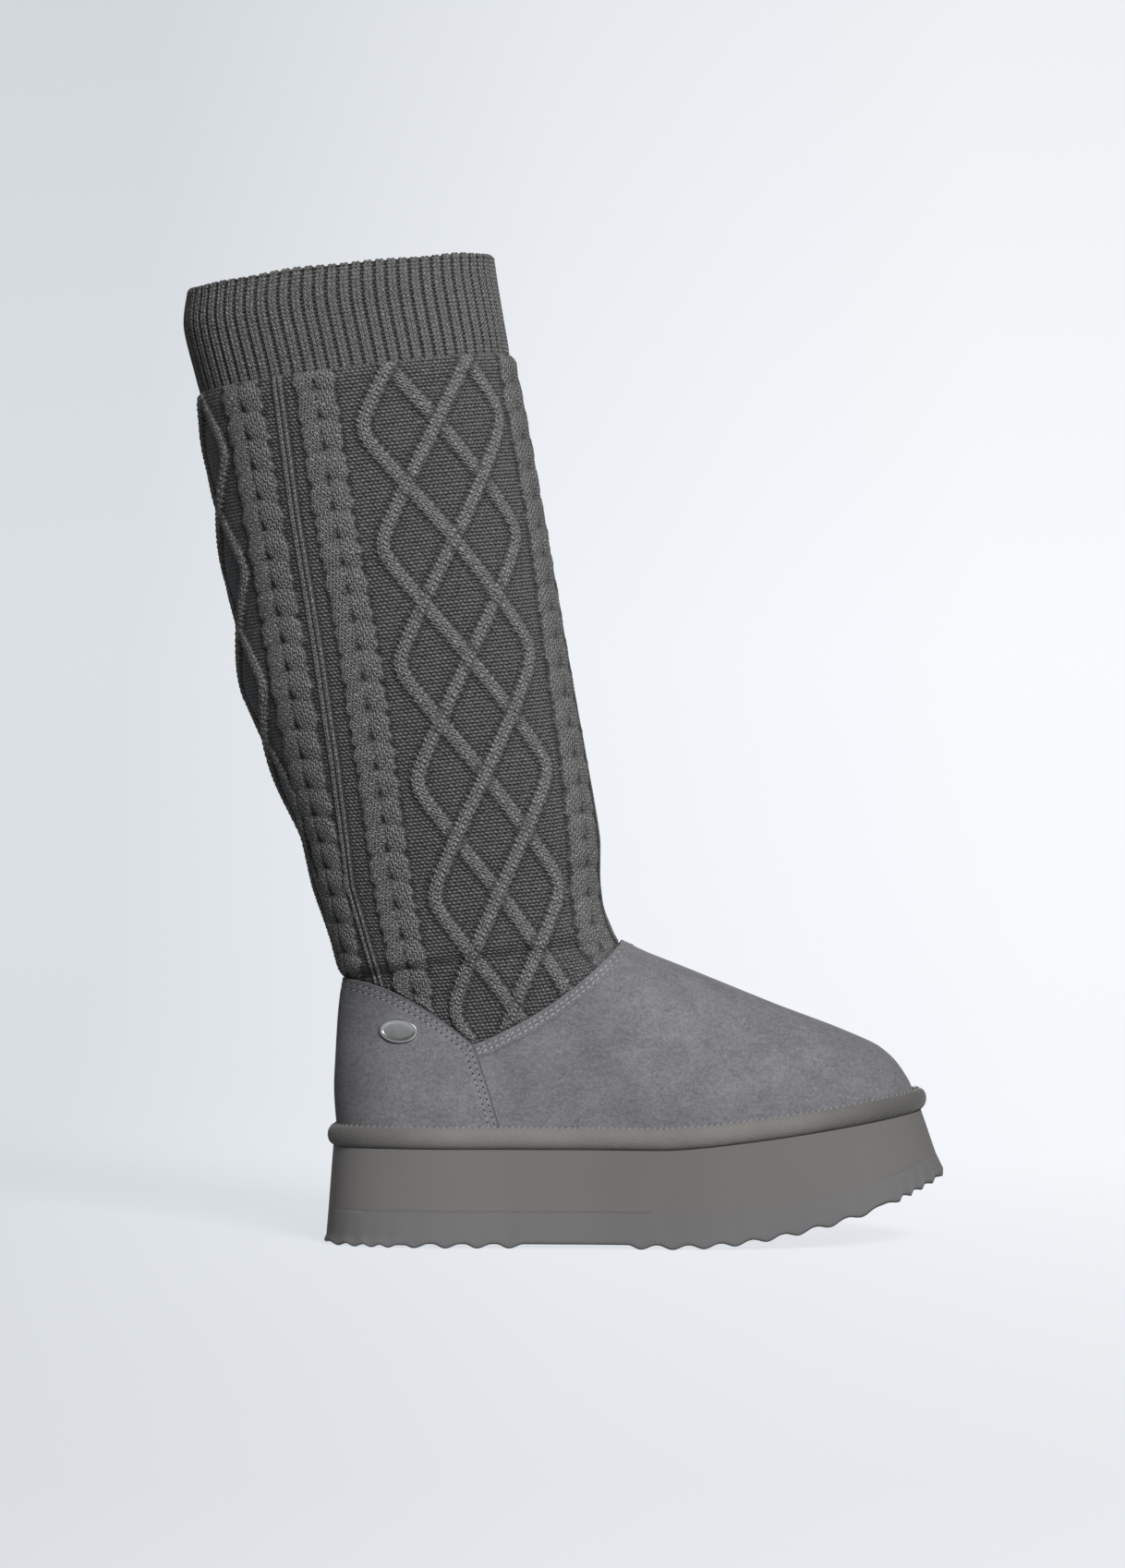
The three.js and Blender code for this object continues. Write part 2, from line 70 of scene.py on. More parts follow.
# Columns: rise, lean, depth, tilt, half, round
SHAFT_RINGS = np.array([
    [0.0163, 0.042, 0.827, 0.129, 0.695, 2.2], [0.044, 0.081, 0.822, 0.147, 0.7, 2.15],
    [0.089, 0.138, 0.843, 0.135, 0.715, 2.1], [0.133, 0.2, 0.8755, 0.127, 0.735, 2.1],
    [0.199, 0.276, 0.894, 0.126, 0.77, 2.1], [0.2935, 0.449, 0.945, 0.126, 0.82, 2.1],
    [0.371, 0.575, 0.979, 0.126, 0.865, 2.1], [0.423, 0.653, 0.998, 0.129, 0.895, 2.1],
    [0.5065, 0.697, 0.99, 0.129, 0.93, 2.1], [0.6225, 0.785, 0.99, 0.129, 0.965, 2.1],
    [0.76, 0.878, 0.985, 0.128, 0.985, 2.1], [0.849, 0.933, 0.972, 0.124, 0.99, 2.1],
    [0.9526, 1.033, 0.985, 0.119, 1.0, 2.1], [1.0, 1.008, 0.959, 0.108, 0.98, 2.1],
])


def along(share):
    return last_back + upper_length * share


def above(share):
    return platform_height + gap + throat_height * share


def mix(a, b, share):
    return a + (b - a) * share


def ease(share):
    held = np.clip(share, 0, 1)
    return held * held * (3 - 2 * held)


def climb(x, start, power):
    return np.maximum(0, ((x - last_back) / upper_length - start) / (1 - start)) ** power


def toe_rise(x):
    return toe_spring * climb(x, toe_spring_start, 1.3)


def monotone(places, values, at):
    """A smooth curve through rows of values, which never overshoots them."""
    width = np.diff(places)[:, None]
    slope = np.diff(values, axis=0) / width
    both = slope[:-1] * slope[1:]
    inner = np.where(both > 0, 2 * both / np.where(both > 0, slope[:-1] + slope[1:], 1), 0)
    tangent = np.concatenate([slope[:1], inner, slope[-1:]])
    at = np.clip(at, places[0], places[-1])
    i = np.clip(np.searchsorted(places, at, side="right") - 1, 0, len(width) - 1)
    t = (at - places[i])[..., None] / width[i]
    bend = t * (1 - t) * ((1 - t) * tangent[i] - t * tangent[i + 1]) * width[i]
    return mix(values[i], values[i + 1], t * t * (3 - 2 * t)) + bend


back, front, low, high, half, last, follow, rounding = FOOT_RINGS.T
foot_form = np.stack([along(back), along(front), above(low), above(high), ball_half_width * half,
                      last, follow, rounding], axis=1)
rise, lean, depth, tilt, half, rounding = SHAFT_RINGS.T
back_x = foot_form[THROAT, 0] - shaft_lean * lean
back_z = foot_form[THROAT, 2] + shaft_height * rise
shaft_form = np.stack([back_x, back_x + shaft_depth * depth, back_z, back_z + shaft_depth * tilt,
                       shaft_half_width * half, 0 * rise, 0 * rise, rounding], axis=1)
leg_form = np.concatenate([foot_form[:THROAT + 1], shaft_form])
CUFF, COLLAR = THROAT + 12, THROAT + 14  # the rings at the cuff's lower edge and at the top


def ring_row(form, ring):
    return np.moveaxis(monotone(np.arange(len(form)), form, ring), -1, 0)


def form_point(form, ring, angle):
    """A point of the form at a ring's number and an angle."""
    ring, angle = np.broadcast_arrays(ring, angle)
    back_x, front_x, back_z, front_z, half, last, follow, rounding = ring_row(form, ring)
    power = 2 / rounding
    cosine, sine = np.cos(angle), np.sin(angle)
    place = (1 - np.sign(cosine) * np.abs(cosine) ** power) / 2
    plan = monotone(LAST_PLAN[:, 0], LAST_PLAN[:, 1:], place)
    side = np.where(sine > 0, plan[..., 0], plan[..., 1])
    share = mix(1, side, last) * np.abs(sine) ** power
    x = mix(back_x, front_x, place)
    swing = toe_swing * ease((x - along(0.5)) / (along(1) - along(0.5)))
    y = swing - np.sign(sine) * half * share
    z = mix(back_z, front_z, place) + follow * toe_rise(x)
    return np.stack([x, y, z], axis=-1)


def unit(vectors):
    return vectors / np.maximum(np.linalg.norm(vectors, axis=-1, keepdims=True), 1e-12)


def form_skin(form, ring, angle, out):
    """The form's point moved square to its surface, as a wall of leather or knit lies on it."""
    turn, step = 0.02, 0.04
    around = form_point(form, ring, angle + turn) - form_point(form, ring, angle - turn)
    up = form_point(form, ring + step, angle) - form_point(form, ring - step, angle)
    return form_point(form, ring, angle) + unit(np.cross(around, up)) * np.asarray(out)[..., None]


def walk(points, axis=0):
    """Distances walked over rows or a grid of points along one axis, from nothing at the start."""
    steps = np.linalg.norm(np.diff(points, axis=axis), axis=-1)
    start = np.zeros_like(np.take(steps, [0], axis))
    return np.concatenate([start, np.cumsum(steps, axis=axis)], axis=axis)


def even_angles(form, ring, count):
    """Angles from the heel right round, evenly spaced along a ring and alike on both sides."""
    fine = np.linspace(0, math.pi, 2001)
    walked = walk(form_point(form, ring, fine)) + walk(form_point(form, ring, -fine))
    half_round = np.interp(np.linspace(0, walked[-1], count // 2 + 1), walked, fine)
    return np.concatenate([half_round, 2 * math.pi - half_round[-2::-1]])


# Outsole. A rubber tread moulded to the last's plan and cemented under the platform: rounded ribs
# run across heel and forefoot, the arch is plain, and sharp teeth climb the toe. It stands on two
# flat pads, and its lower edge is rounded, with a small lip at the back.
sole_margin = 6.2 * MM
outsole_height, toe_lift = 15.8 * MM, 19.3 * MM
edge_round, lip_reach, lip_on_wall = 1.3 * MM, 1.2 * MM, 0.6
side_flare, heel_flare, toe_flare = 0.07, 0.075, 0.34    # the wall's lean outwards, over its height
pad_half_length, pad_half_width = 15 * MM, 18 * MM
tread_spring, tread_spring_start = 22.8 * MM, 0.57
toe_teeth = 200 * MM        # from here forwards the ribs are sharp
# Columns: the first rib's place, then pitch, number of ribs, depth of the hollow after each rib,
# and the lengths over which it opens and closes
TREAD = np.array([
    [-41.3, 7.45, 5, 1.2, 3.7, 3.7],
    [-0.2, 14.0, 4, 1.9, 6.5, 5.5],
    [99.6, 13.9, 8, 1.9, 6.5, 6.5],
    [214.0, 5.15, 6, 2.5, 1.3, 4.6],
])


def tread_base(x):
    return tread_spring * climb(x, tread_spring_start, 2)


rib_tips = np.concatenate([row[0] + row[1] * np.arange(row[2]) for row in TREAD]) * MM
rib_shapes = np.repeat(TREAD[:, 3:], TREAD[:, 2].astype(int), axis=0) * MM


def tread(x):
    """The tread's height above the floor, seen from the side."""
    i = np.clip(np.searchsorted(rib_tips, x, side="right") - 1, 0, len(rib_tips) - 2)
    deep, opening, closing = np.moveaxis(rib_shapes[i], -1, 0)
    opened = np.clip((x - rib_tips[i]) / opening, 0, 1)
    closed = np.clip((rib_tips[i + 1] - x) / closing, 0, 1)
    wave = ease(np.minimum(opened, closed))
    tooth = np.minimum(opened ** 0.6, closed ** 0.8)
    hollow = np.where(rib_tips[i] > toe_teeth, tooth, wave)
    return tread_base(x) + deep * np.where(x < rib_tips[0], 0, hollow)


def sole_edge(ring, angle):
    """A place on the last's plan, and the way straight out from it."""
    place = form_point(foot_form, ring, angle)
    around = form_point(foot_form, ring, angle + 0.02) - form_point(foot_form, ring, angle - 0.02)
    out = np.stack([around[..., 1], -around[..., 0], 0 * around[..., 0]], axis=-1)
    return place, unit(out)


def sole_wall(angle, level, out=0):
    """The sole's wall where it meets a level, a function of x; it flares towards the floor."""
    place, away = sole_edge(0, angle)
    toe, heel = ease(-np.cos(angle) * 1.7 - 0.7), ease(np.cos(angle) * 2 - 1)
    flare = mix(mix(side_flare, heel_flare, heel), toe_flare, toe)
    top = platform_height + toe_rise(place[..., 0])
    height = level(place[..., 0])
    for _ in range(5):
        wall = place + away * (sole_margin + flare * (top - height) + out)[..., None]
        height = level(wall[..., 0])
    wall[..., 2] = height
    return wall


def across(edge, share, level):
    """A row of a sole's flat side, between its middle line and its edge."""
    middle = (edge + edge[::-1]) / 2
    row = mix(middle, edge, share)
    row[..., 2] = level(row[..., 0])
    return row


def skin(name, points, maps={}, marks={}):
    """A sheet of faces over rows of points, with UV maps and point attributes."""
    rows, columns = points.shape[:2]
    bpy.ops.object.select_all(action="DESELECT")
    bpy.ops.mesh.primitive_grid_add(x_subdivisions=columns - 1, y_subdivisions=rows - 1)
    sheet = bpy.context.object
    sheet.name = sheet.data.name = name
    sheet.data.vertices.foreach_set("co", points.astype(np.float32).ravel())
    sheet.data.uv_layers.remove(sheet.data.uv_layers[0])
    corners = np.zeros(len(sheet.data.loops), np.int32)
    sheet.data.loops.foreach_get("vertex_index", corners)
    for key, places in maps.items():
        layer = sheet.data.uv_layers.new(name=key)
        layer.data.foreach_set("uv", places.reshape(-1, 2)[corners].astype(np.float32).ravel())
    for key, values in marks.items():
        mark = sheet.data.attributes.new(key, "FLOAT", "POINT")
        mark.data.foreach_set("value", values.astype(np.float32).ravel())
    return sheet


def close_shell(*sheets, bridge=False, sharp=40):
    """Joins sheets into one closed shell: welded where they meet, bridged where they are open."""
    bpy.ops.object.select_all(action="DESELECT")
    for sheet in sheets:
        sheet.select_set(True)
    bpy.context.view_layer.objects.active = sheets[0]
    if len(sheets) > 1:
        bpy.ops.object.join()
    bpy.ops.object.mode_set(mode="EDIT")
    bpy.ops.mesh.select_mode(type="EDGE")
    bpy.ops.mesh.select_all(action="SELECT")
    bpy.ops.mesh.remove_doubles(threshold=0.001 * MM)
    if bridge:
        bpy.ops.mesh.select_all(action="DESELECT")
        bpy.ops.mesh.select_non_manifold(extend=False)
        bpy.ops.mesh.bridge_edge_loops()
    bpy.ops.mesh.select_all(action="SELECT")
    bpy.ops.mesh.normals_make_consistent(inside=False)
    bpy.ops.object.mode_set(mode="OBJECT")
    bpy.ops.object.shade_smooth_by_angle(angle=math.radians(sharp))
    return sheets[0]


def fit(piece, look, slot, *nodes):
    """Gives a finished piece its look and its place on the boot; its slot is not used."""
    piece.data.materials.clear()
    piece.data.materials.append(look)
    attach(piece, "root")
    if nodes:
        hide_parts(*nodes)


class Wire:
    """A value that runs between a material's nodes; sums and products add Math nodes."""

    def __init__(self, finish, socket):
        self.finish, self.socket = finish, socket

    def __add__(self, other):
        return self.finish.math("ADD", self, other)

    def __sub__(self, other):
        return self.finish.math("SUBTRACT", self, other)

    def __rsub__(self, other):
        return self.finish.math("SUBTRACT", other, self)

    def __mul__(self, other):
        return self.finish.math("MULTIPLY", self, other)

    def __pow__(self, other):
        return self.finish.math("POWER", self, other)

    def __mod__(self, other):
        return self.finish.math("FLOORED_MODULO", self, other)

    def __abs__(self):
        return self.finish.math("ABSOLUTE", self)

    __radd__, __rmul__ = __add__, __mul__


class Finish:
    """A material being made up: node() adds any node, settings first, then its sockets."""

    def __init__(self, name):
        self.material = bpy.data.materials.new(name)
        self.material.use_nodes = True
        self.tree = self.material.node_tree
        self.tree.nodes.clear()

    def node(self, kind, settings={}, sockets={}, output=0):
        made = self.tree.nodes.new(kind)
        for key, value in settings.items():
            if key == "stops":
                ramp = made.color_ramp.elements
                while len(ramp) < len(value):
                    ramp.new(0.5)
                for stop, (place, colour) in zip(list(ramp), value):
                    stop.position, stop.color = place, (*colour, 1)
            else:
                setattr(made, key, value)
        for key, value in sockets.items():
            if isinstance(value, Wire):
                self.tree.links.new(value.socket, made.inputs[key])
            else:
                made.inputs[key].default_value = value
        return Wire(self, made.outputs[output])

    def math(self, operation, *values):
        return self.node("ShaderNodeMath", {"operation": operation}, dict(enumerate(values)))

    def parts(self, vector):
        """The x, y and z of a vector, each as a value."""
        split = self.node("ShaderNodeSeparateXYZ", {}, {0: vector})
        return [Wire(self, socket) for socket in split.socket.node.outputs]

    def place(self):
        """Where a point lies on the boot, in metres along, across and up."""
        return self.parts(self.node("ShaderNodeTexCoord", output="Object"))

    def map(self, name):
        """The u and v of one of the mesh's own maps."""
        return self.parts(self.node("ShaderNodeUVMap", {"uv_map": name}))[:2]

    def mark(self, name):
        """A value that the mesh carries from point to point."""
        return self.node("ShaderNodeAttribute", {"attribute_name": name}, output="Fac")

    def fade(self, value, start, end, first, last, curve="LINEAR"):
        """Runs from first to last while a value goes from start to end, and holds beyond."""
        return self.node("ShaderNodeMapRange", {"interpolation_type": curve}, {
            "Value": value, "From Min": start, "From Max": end, "To Min": first, "To Max": last})

    def noise(self, size, where=None, detail=2, rough=0.5):
        """Soft noise whose patches are about size across."""
        where = where or self.node("ShaderNodeTexCoord", output="Object")
        return self.node("ShaderNodeTexNoise", {}, {
            "Vector": where, "Scale": 1 / size, "Detail": detail, "Roughness": rough})

    def between(self, share, first, second):
        """A colour between two, by a share."""
        ends = {0: share, 6: (*first, 1), 7: (*second, 1)}
        return self.node("ShaderNodeMix", {"data_type": "RGBA"}, ends, 2)

    def shade(self, colour, value):
        """A colour made darker or lighter by a value."""
        grey = self.node("ShaderNodeCombineXYZ", {}, {0: value, 1: value, 2: value})
        return self.node("ShaderNodeVectorMath", {"operation": "MULTIPLY"}, {0: colour, 1: grey})

    def bump(self, height, distance, strength=1.0, under=None):
        sockets = {"Height": height, "Distance": distance, "Strength": strength}
        if under:
            sockets["Normal"] = under
        return self.node("ShaderNodeBump", {}, sockets)

    def done(self, **sockets):
        named = {key.replace("_", " "): value for key, value in sockets.items()}
        surface = self.node("ShaderNodeBsdfPrincipled", {}, named)
        end = self.tree.nodes.new("ShaderNodeOutputMaterial")
        self.tree.links.new(surface.socket, end.inputs["Surface"])
        return self.material


def moulded_rubber(name, colour, warm):
    """Matt moulded rubber: a fine grain, faint clouds and a few rubbed marks, with painted light at the
    heel and painted shade towards the toe.
    """
    finish = Finish(name)
    x, _, _ = finish.place()
    clouds = finish.noise(35 * MM, detail=3)
    grain = finish.noise(0.5 * MM, detail=3, rough=0.65)
    marks = finish.noise(6 * MM, detail=4, rough=0.7)
    # Painted light makes the heel lighter, and painted shade makes the toe darker.
    heel = finish.fade(x, -40 * MM, 15 * MM, 1.13, 1.0)
    toe = finish.fade(x, 90 * MM, 260 * MM, 1.0, 0.87)
    tone = finish.between(clouds, colour, warm)
    tone = finish.shade(tone, (0.93 + grain * 0.1 + marks * 0.05) * toe * heel)
    rough = 0.62 + marks * 0.2
    normal = finish.bump(grain, 0.12 * MM, 0.5, finish.bump(clouds, 1.2 * MM, 0.25))
    return finish.done(Base_Color=tone, Roughness=rough, Normal=normal, Specular_IOR_Level=0.15)


def outsole_top(x):
    return outsole_height + toe_lift * climb(x, 0.602, 1.95)


sole_angles = even_angles(foot_form, 0, 900)
top_edge = sole_wall(sole_angles, outsole_top)
foot_edge = sole_wall(sole_angles, tread_base)
_, sole_out = sole_edge(0, sole_angles)
lip = lip_reach * ease(np.cos(sole_angles) * 3 - 1.9)
pad_places = (0.0, along(0.55))


def standing(x, y):
    """The tread's height, with the flat pads that the boot stands on."""
    height = tread(x)
    for pad_x in pad_places:
        reach = np.hypot((x - pad_x) / pad_half_length, y / pad_half_width)
        height = height * ease((reach - 1) / 0.05)
    return height


rows = [across(top_edge, share, outsole_top) for share in (0, 0.4, 0.8, 0.97, 0.9995)]
for share in np.linspace(0.001, 1, 9):
    row = mix(top_edge, foot_edge, share)
    row[:, 2] = mix(outsole_top(top_edge[:, 0]), tread(foot_edge[:, 0]) + edge_round, share)
    rows.append(row + sole_out * (lip * max(0, share * 6 - 5) ** 2 * lip_on_wall)[:, None])
for turn in np.linspace(0, math.pi / 2, 6)[1:]:
    inward = edge_round * (1 - math.cos(turn)) - lip * mix(lip_on_wall, 1, math.sin(turn))
    row = foot_edge - sole_out * inward[:, None]
    row[:, 2] = tread(foot_edge[:, 0]) + edge_round * (1 - math.sin(turn))
    rows.append(row)
for share in (0.97, 0.9, 0.8, 0.68, 0.56, 0.44, 0.32, 0.2, 0.1, 0):
    row = mix((foot_edge + foot_edge[::-1]) / 2, foot_edge, share)
    row[:, 2] = standing(row[:, 0], row[:, 1])
    rows.append(row)
outsole = close_shell(skin("outsole_tread", np.array(rows)))
outsole_rubber = moulded_rubber("outsole_rubber", (0.175, 0.172, 0.176), (0.182, 0.177, 0.18))
fit(outsole, outsole_rubber, "outsole", "outsole")


# Midsole. A thick platform of moulded foam rubber under the whole foot, cemented to the outsole.
# Its wall runs on from the outsole's in one line and shows a slightly warmer, smoother skin.
def sole_top(x):
    return platform_height + toe_rise(x)


middle_angles = even_angles(foot_form, 0, 420)
upper_edge = sole_wall(middle_angles, sole_top)
lower_edge = sole_wall(middle_angles, outsole_top)
rows = [across(upper_edge, share, sole_top) for share in (0, 0.35, 0.7, 0.93, 0.985)]
rows += [mix(upper_edge, lower_edge, share) for share in (0.012, 0.05, 0.2, 0.4, 0.6, 0.8, 0.95, 0.999)]
rows += [across(lower_edge, share, outsole_top) for share in (0.9995, 0.9, 0.6, 0.3, 0)]
midsole = close_shell(skin("midsole_platform", np.array(rows)))
foam_rubber = moulded_rubber("foam_rubber", (0.178, 0.17, 0.165), (0.19, 0.178, 0.176))
fit(midsole, foam_rubber, "midsole", "midsole")


# Footbed. A felted wool insole that lies on the platform inside the upper. Only its place and
# size matter, so its CAD solid stays, dressed as grey felt with short matted fibres.
def felted_wool():
    finish = Finish("felted_wool")
    mat = finish.noise(1.6 * MM, detail=5, rough=0.7)
    fibres = finish.noise(0.35 * MM, detail=2)
    tone = finish.shade(finish.between(mat, (0.12, 0.12, 0.125), (0.2, 0.2, 0.205)), 0.8 + fibres * 0.4)
    normal = finish.bump(mat + fibres * 0.4, 0.5 * MM, 0.8)
    return finish.done(Base_Color=tone, Roughness=1.0, Normal=normal, Sheen_Weight=0.3)


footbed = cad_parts["insole"]
footbed.data.materials.clear()
footbed.data.materials.append(felted_wool())

# Upper. The foot and vamp are one skin of brushed suede on a knitted lining. Its top edge is a
# pressed band sewn down with two rows of pale thread over the foot of the knitted shaft.
suede_wall, lining_wall, counter_wall, suede_lap = 1.3 * MM, 1.7 * MM, 1.3 * MM, 8 * MM
suede_face, lining_face = gap + suede_wall, gap - lining_wall
band_width, band_height = 6.4 * MM, 0.5 * MM
seam_rows, seam_sink, rim_round = (2.2 * MM, 4.1 * MM), 0.22 * MM, 0.7 * MM


def bezier(start, bend, end, count=60):
    t = np.linspace(0, 1, count)[:, None]
    return (1 - t) ** 2 * np.array(start) + 2 * t * (1 - t) * np.array(bend) + t ** 2 * np.array(end)


notch = (along(0.2275), above(0.5056))
throat_front = (foot_form[THROAT, 1] + suede_wall, foot_form[THROAT, 3] + gap)
counter_top = bezier((along(-0.014), above(0.827)), (along(0.0996), above(0.804)), notch)
vamp_top = bezier(notch, (along(0.3705), above(0.66)), throat_front)
counter_front = bezier(notch, (along(0.257), above(0.293)), (along(0.285), above(-0.018)))
topline = np.concatenate([counter_top, vamp_top[1:]])


def height_of(line, x):
    """The height of a line seen from the side; past its front end it runs steeply up."""
    return np.interp(x, line[:, 0], line[:, 1]) + 5 * np.maximum(0, x - line[-1, 0])


def off_line(line, x, z):
    """How far a place lies from a line, seen from the side."""
    from_line = np.full(np.shape(x), np.inf)
    for start, end in zip(line[:-1], line[1:]):
        run = end - start
        share = np.clip(((x - start[0]) * run[0] + (z - start[1]) * run[1]) / (run @ run), 0, 1)
        from_piece = np.hypot(x - start[0] - share * run[0], z - start[1] - share * run[1])
        from_line = np.minimum(from_line, from_piece)
    return from_line


def shifted(line, distance):
    """A line seen from the side, moved square to itself, forwards or down."""
    way = np.gradient(line, axis=0)
    square = np.stack([way[:, 1], -way[:, 0]], axis=1)
    return line + unit(square) * distance


def halve(low, high, too_low, steps=36):
    """Finds by halving where too_low turns from true to false."""
    for _ in range(steps):
        middle = (low + high) / 2
        below = too_low(middle)
        low, high = np.where(below, middle, low), np.where(below, high, middle)
    return (low + high) / 2


def ring_on(line, angle, out):
    """The ring where the foot's skin meets a line seen from the side, at each angle."""
    def too_low(ring):
        point = form_skin(foot_form, ring, angle, out)
        return point[..., 2] < height_of(line, point[..., 0])
    return halve(np.full(angle.shape, 1.5), np.full(angle.shape, 9.0), too_low)


def rings_below(top_rings, angle, distances, out):
    """Rings at distances below the top edge, measured down the skin at each angle."""
    share = np.linspace(1, 0, 120)[:, None]
    line = form_skin(foot_form, share * top_rings, angle, out + 0 * share)
    walked = walk(line)
    found = [np.interp(distances, walked[:, i], share[:, 0] * top_rings[i]) for i in range(len(angle))]
    return np.array(found).T


def suede_cloud(points):
    """Slow, shallow unevenness of the skin over the lining, from a few fixed waves."""
    x, y, z = np.moveaxis(points, -1, 0)
    wave = np.sin(x * 71 + z * 43 + 1.3) * np.sin(y * 88 - z * 67 + 0.4)
    return 0.16 * MM * (wave + 0.6 * np.sin(x * 148 - y * 91 + z * 120))


plain_angles = even_angles(foot_form, 3, 260)
tops = form_skin(foot_form, ring_on(topline, plain_angles, suede_face), plain_angles, suede_face)
outer_side = plain_angles < math.pi
notch_angle = np.interp(notch[0], tops[outer_side, 0], plain_angles[outer_side])
upper_angles = np.sort(np.append(plain_angles, [notch_angle, 2 * math.pi - notch_angle]))
top_rings = ring_on(topline, upper_angles, suede_face)
top_x = form_skin(foot_form, top_rings, upper_angles, suede_face)[:, 0]
on_vamp = ease((top_x - notch[0]) / (2 * MM) + 0.5)
edge_steps = np.array([
    0, 0.2, 0.6, 1.1, 1.6, 2.0, 2.2, 2.5, 3.1, 3.7, 4.0, 4.2, 4.6, 5.4, 6.0, 6.4, 6.8, 7.4, 8.6]) * MM
edge_rings = rings_below(top_rings, upper_angles, edge_steps, suede_face)
body_rings = edge_rings[-1] * np.linspace(0, 1, 46)[:-1, None]
band = band_height * (1 - ease((edge_steps - band_width + 0.5 * MM) / (1.0 * MM)))
trough = sum(seam_sink * np.exp(-((edge_steps - row) / (0.35 * MM)) ** 2) for row in seam_rows)
lifted = (band - trough)[:, None] * on_vamp
rim_middle = (gap + suede_face) / 2
rim_share = np.sqrt(1 - (1 - np.clip(edge_steps / rim_round, 0, 1)) ** 2)
edge_outs = mix(rim_middle, suede_face + lifted, rim_share[:, None])

body = form_skin(foot_form, body_rings, upper_angles, suede_face + 0 * body_rings)
spread = form_skin(foot_form, body_rings, upper_angles, suede_face + suede_cloud(body) * ease(body_rings))
edge = form_skin(foot_form, edge_rings[::-1], upper_angles, edge_outs[::-1])
inside_steps = np.array([0.25, 0.7, 3.0, 7.6, 8.3]) * MM
inside_rings = rings_below(top_rings, upper_angles, inside_steps, suede_face)
inside_outs = np.array([gap + 0.25 * MM, gap, gap, gap, lining_face])[:, None] + 0 * inside_rings
lining_rings = inside_rings[-1] * np.linspace(1, 0, 14)[1:, None]
inside = form_skin(foot_form, inside_rings, upper_angles, inside_outs)
lining = form_skin(foot_form, lining_rings, upper_angles, lining_face + 0 * lining_rings)
upper = close_shell(skin("upper_suede", np.concatenate([spread, edge, inside, lining, spread[:1]])))


def brushed_suede(name, tone, light):
    """Suede: a fine nap brushed into soft clouds, with short streaks and darker pores. Painted shade
    darkens the heel's back, the toe and the instep, and the cut edge is darker, partly as raw suede and
    partly as painted shadow.
    """
    finish = Finish(name)
    where = finish.node("ShaderNodeTexCoord", output="Object")
    x, _, z = finish.parts(where)
    combed = finish.node("ShaderNodeMapping", {}, {
        "Vector": where, "Rotation": (0.2, 0.5, 0.1), "Scale": (1, 1, 2.4)})
    clouds = finish.noise(16 * MM, where, 5, 0.68)
    strokes = finish.noise(3.6 * MM, combed, 4, 0.72)
    nap = finish.noise(0.45 * MM, where, 3, 0.7)
    pores = finish.noise(1.1 * MM, where, 2, 0.6)
    stir = (clouds - 0.5) * 1.25 + (strokes - 0.5) * 1.4 + (pores - 0.5) * 1.8
    colour = finish.between(stir + 0.5, tone, light)
    # Painted shade: the colour is darker at the heel's back, towards the toe and over the instep.
    heel = finish.fade(x, -38 * MM, -8 * MM, 0.62, 1.0)
    toe = finish.fade(x, 100 * MM, 250 * MM, 1.0, 0.8)
    instep = finish.fade(z, 95 * MM, 120 * MM, 1.0, 0.92)
    # The counter's cut edge is darker: partly raw suede, partly a painted shadow.
    raw_edge_and_painted_shadow = 1 - finish.mark("cut") * 0.75
    colour = finish.shade(colour, (0.78 + nap * 0.44) * toe * heel * instep * raw_edge_and_painted_shadow)
    normal = finish.bump(nap + pores * 0.5, 0.35 * MM, 0.7, finish.bump(strokes, 0.6 * MM, 0.35))
    return finish.done(Base_Color=colour, Roughness=0.95, Normal=normal, Sheen_Weight=0.12,
                       Sheen_Roughness=0.5, Specular_IOR_Level=0.12)


suede = brushed_suede("grey_suede", (0.16, 0.159, 0.17), (0.28, 0.279, 0.297))
fit(upper, suede, "suede", "upper")


# Seams of the upper. Two rows of pale cotton thread hold the vamp's band down, about 9 stitches to
# the inch, on both sides of the foot. Each stitch is a short bead of thread with tucked-in ends.
def on_last(x, z, side, out):
    """Ring and angle of the skin's point that is seen at x and z from the side."""
    aim_x, aim_z = x.copy(), z.copy()
    for _ in range(8):
        def too_low(ring):
            back_x, front_x, back_z, front_z, _, _, follow, _ = ring_row(foot_form, ring)
            place = np.clip((aim_x - back_x) / (front_x - back_x), 0, 1)
            return mix(back_z, front_z, place) + follow * toe_rise(aim_x) < aim_z
        ring = halve(np.zeros(x.shape), np.full(x.shape, 9.0), too_low)
        back_x, front_x, _, _, _, _, _, rounding = ring_row(foot_form, ring)
        across_it = 1 - 2 * np.clip((aim_x - back_x) / (front_x - back_x), 0.0005, 0.9995)
        angle = side * np.arccos(np.sign(across_it) * np.abs(across_it) ** (rounding / 2))
        point = form_skin(foot_form, ring, angle, out)
        aim_x, aim_z = aim_x + (x - point[..., 0]) * 0.8, aim_z + (z - point[..., 2]) * 0.8
    return ring, angle


def read_off(at, walked, points):
    """The points that lie at given distances along a walk."""
    return np.stack([np.interp(at, walked, column) for column in points.T], axis=1)


def evenly(line, pitch, start=0.5):
    """Places at an even pitch along a line, as points and as ways along it."""
    walked = walk(line)
    at = np.arange(start * pitch, walked[-1], pitch)
    return read_off(at, walked, line), unit(read_off(at, walked, np.gradient(line, walked, axis=0)))


def bead(size):
    """One stitch or dot: a small ball drawn out to a size, as points and faces."""
    bpy.ops.object.select_all(action="DESELECT")
    bpy.ops.mesh.primitive_uv_sphere_add(segments=8, ring_count=5, radius=0.5, rotation=(0, math.pi / 2, 0))
    bpy.ops.object.transform_apply(location=False, rotation=True, scale=False)
    ball = bpy.context.object
    points = np.array([v.co for v in ball.data.vertices]) * size
    faces = [tuple(p.vertices) for p in ball.data.polygons]
    bpy.data.objects.remove(ball)
    return points, faces


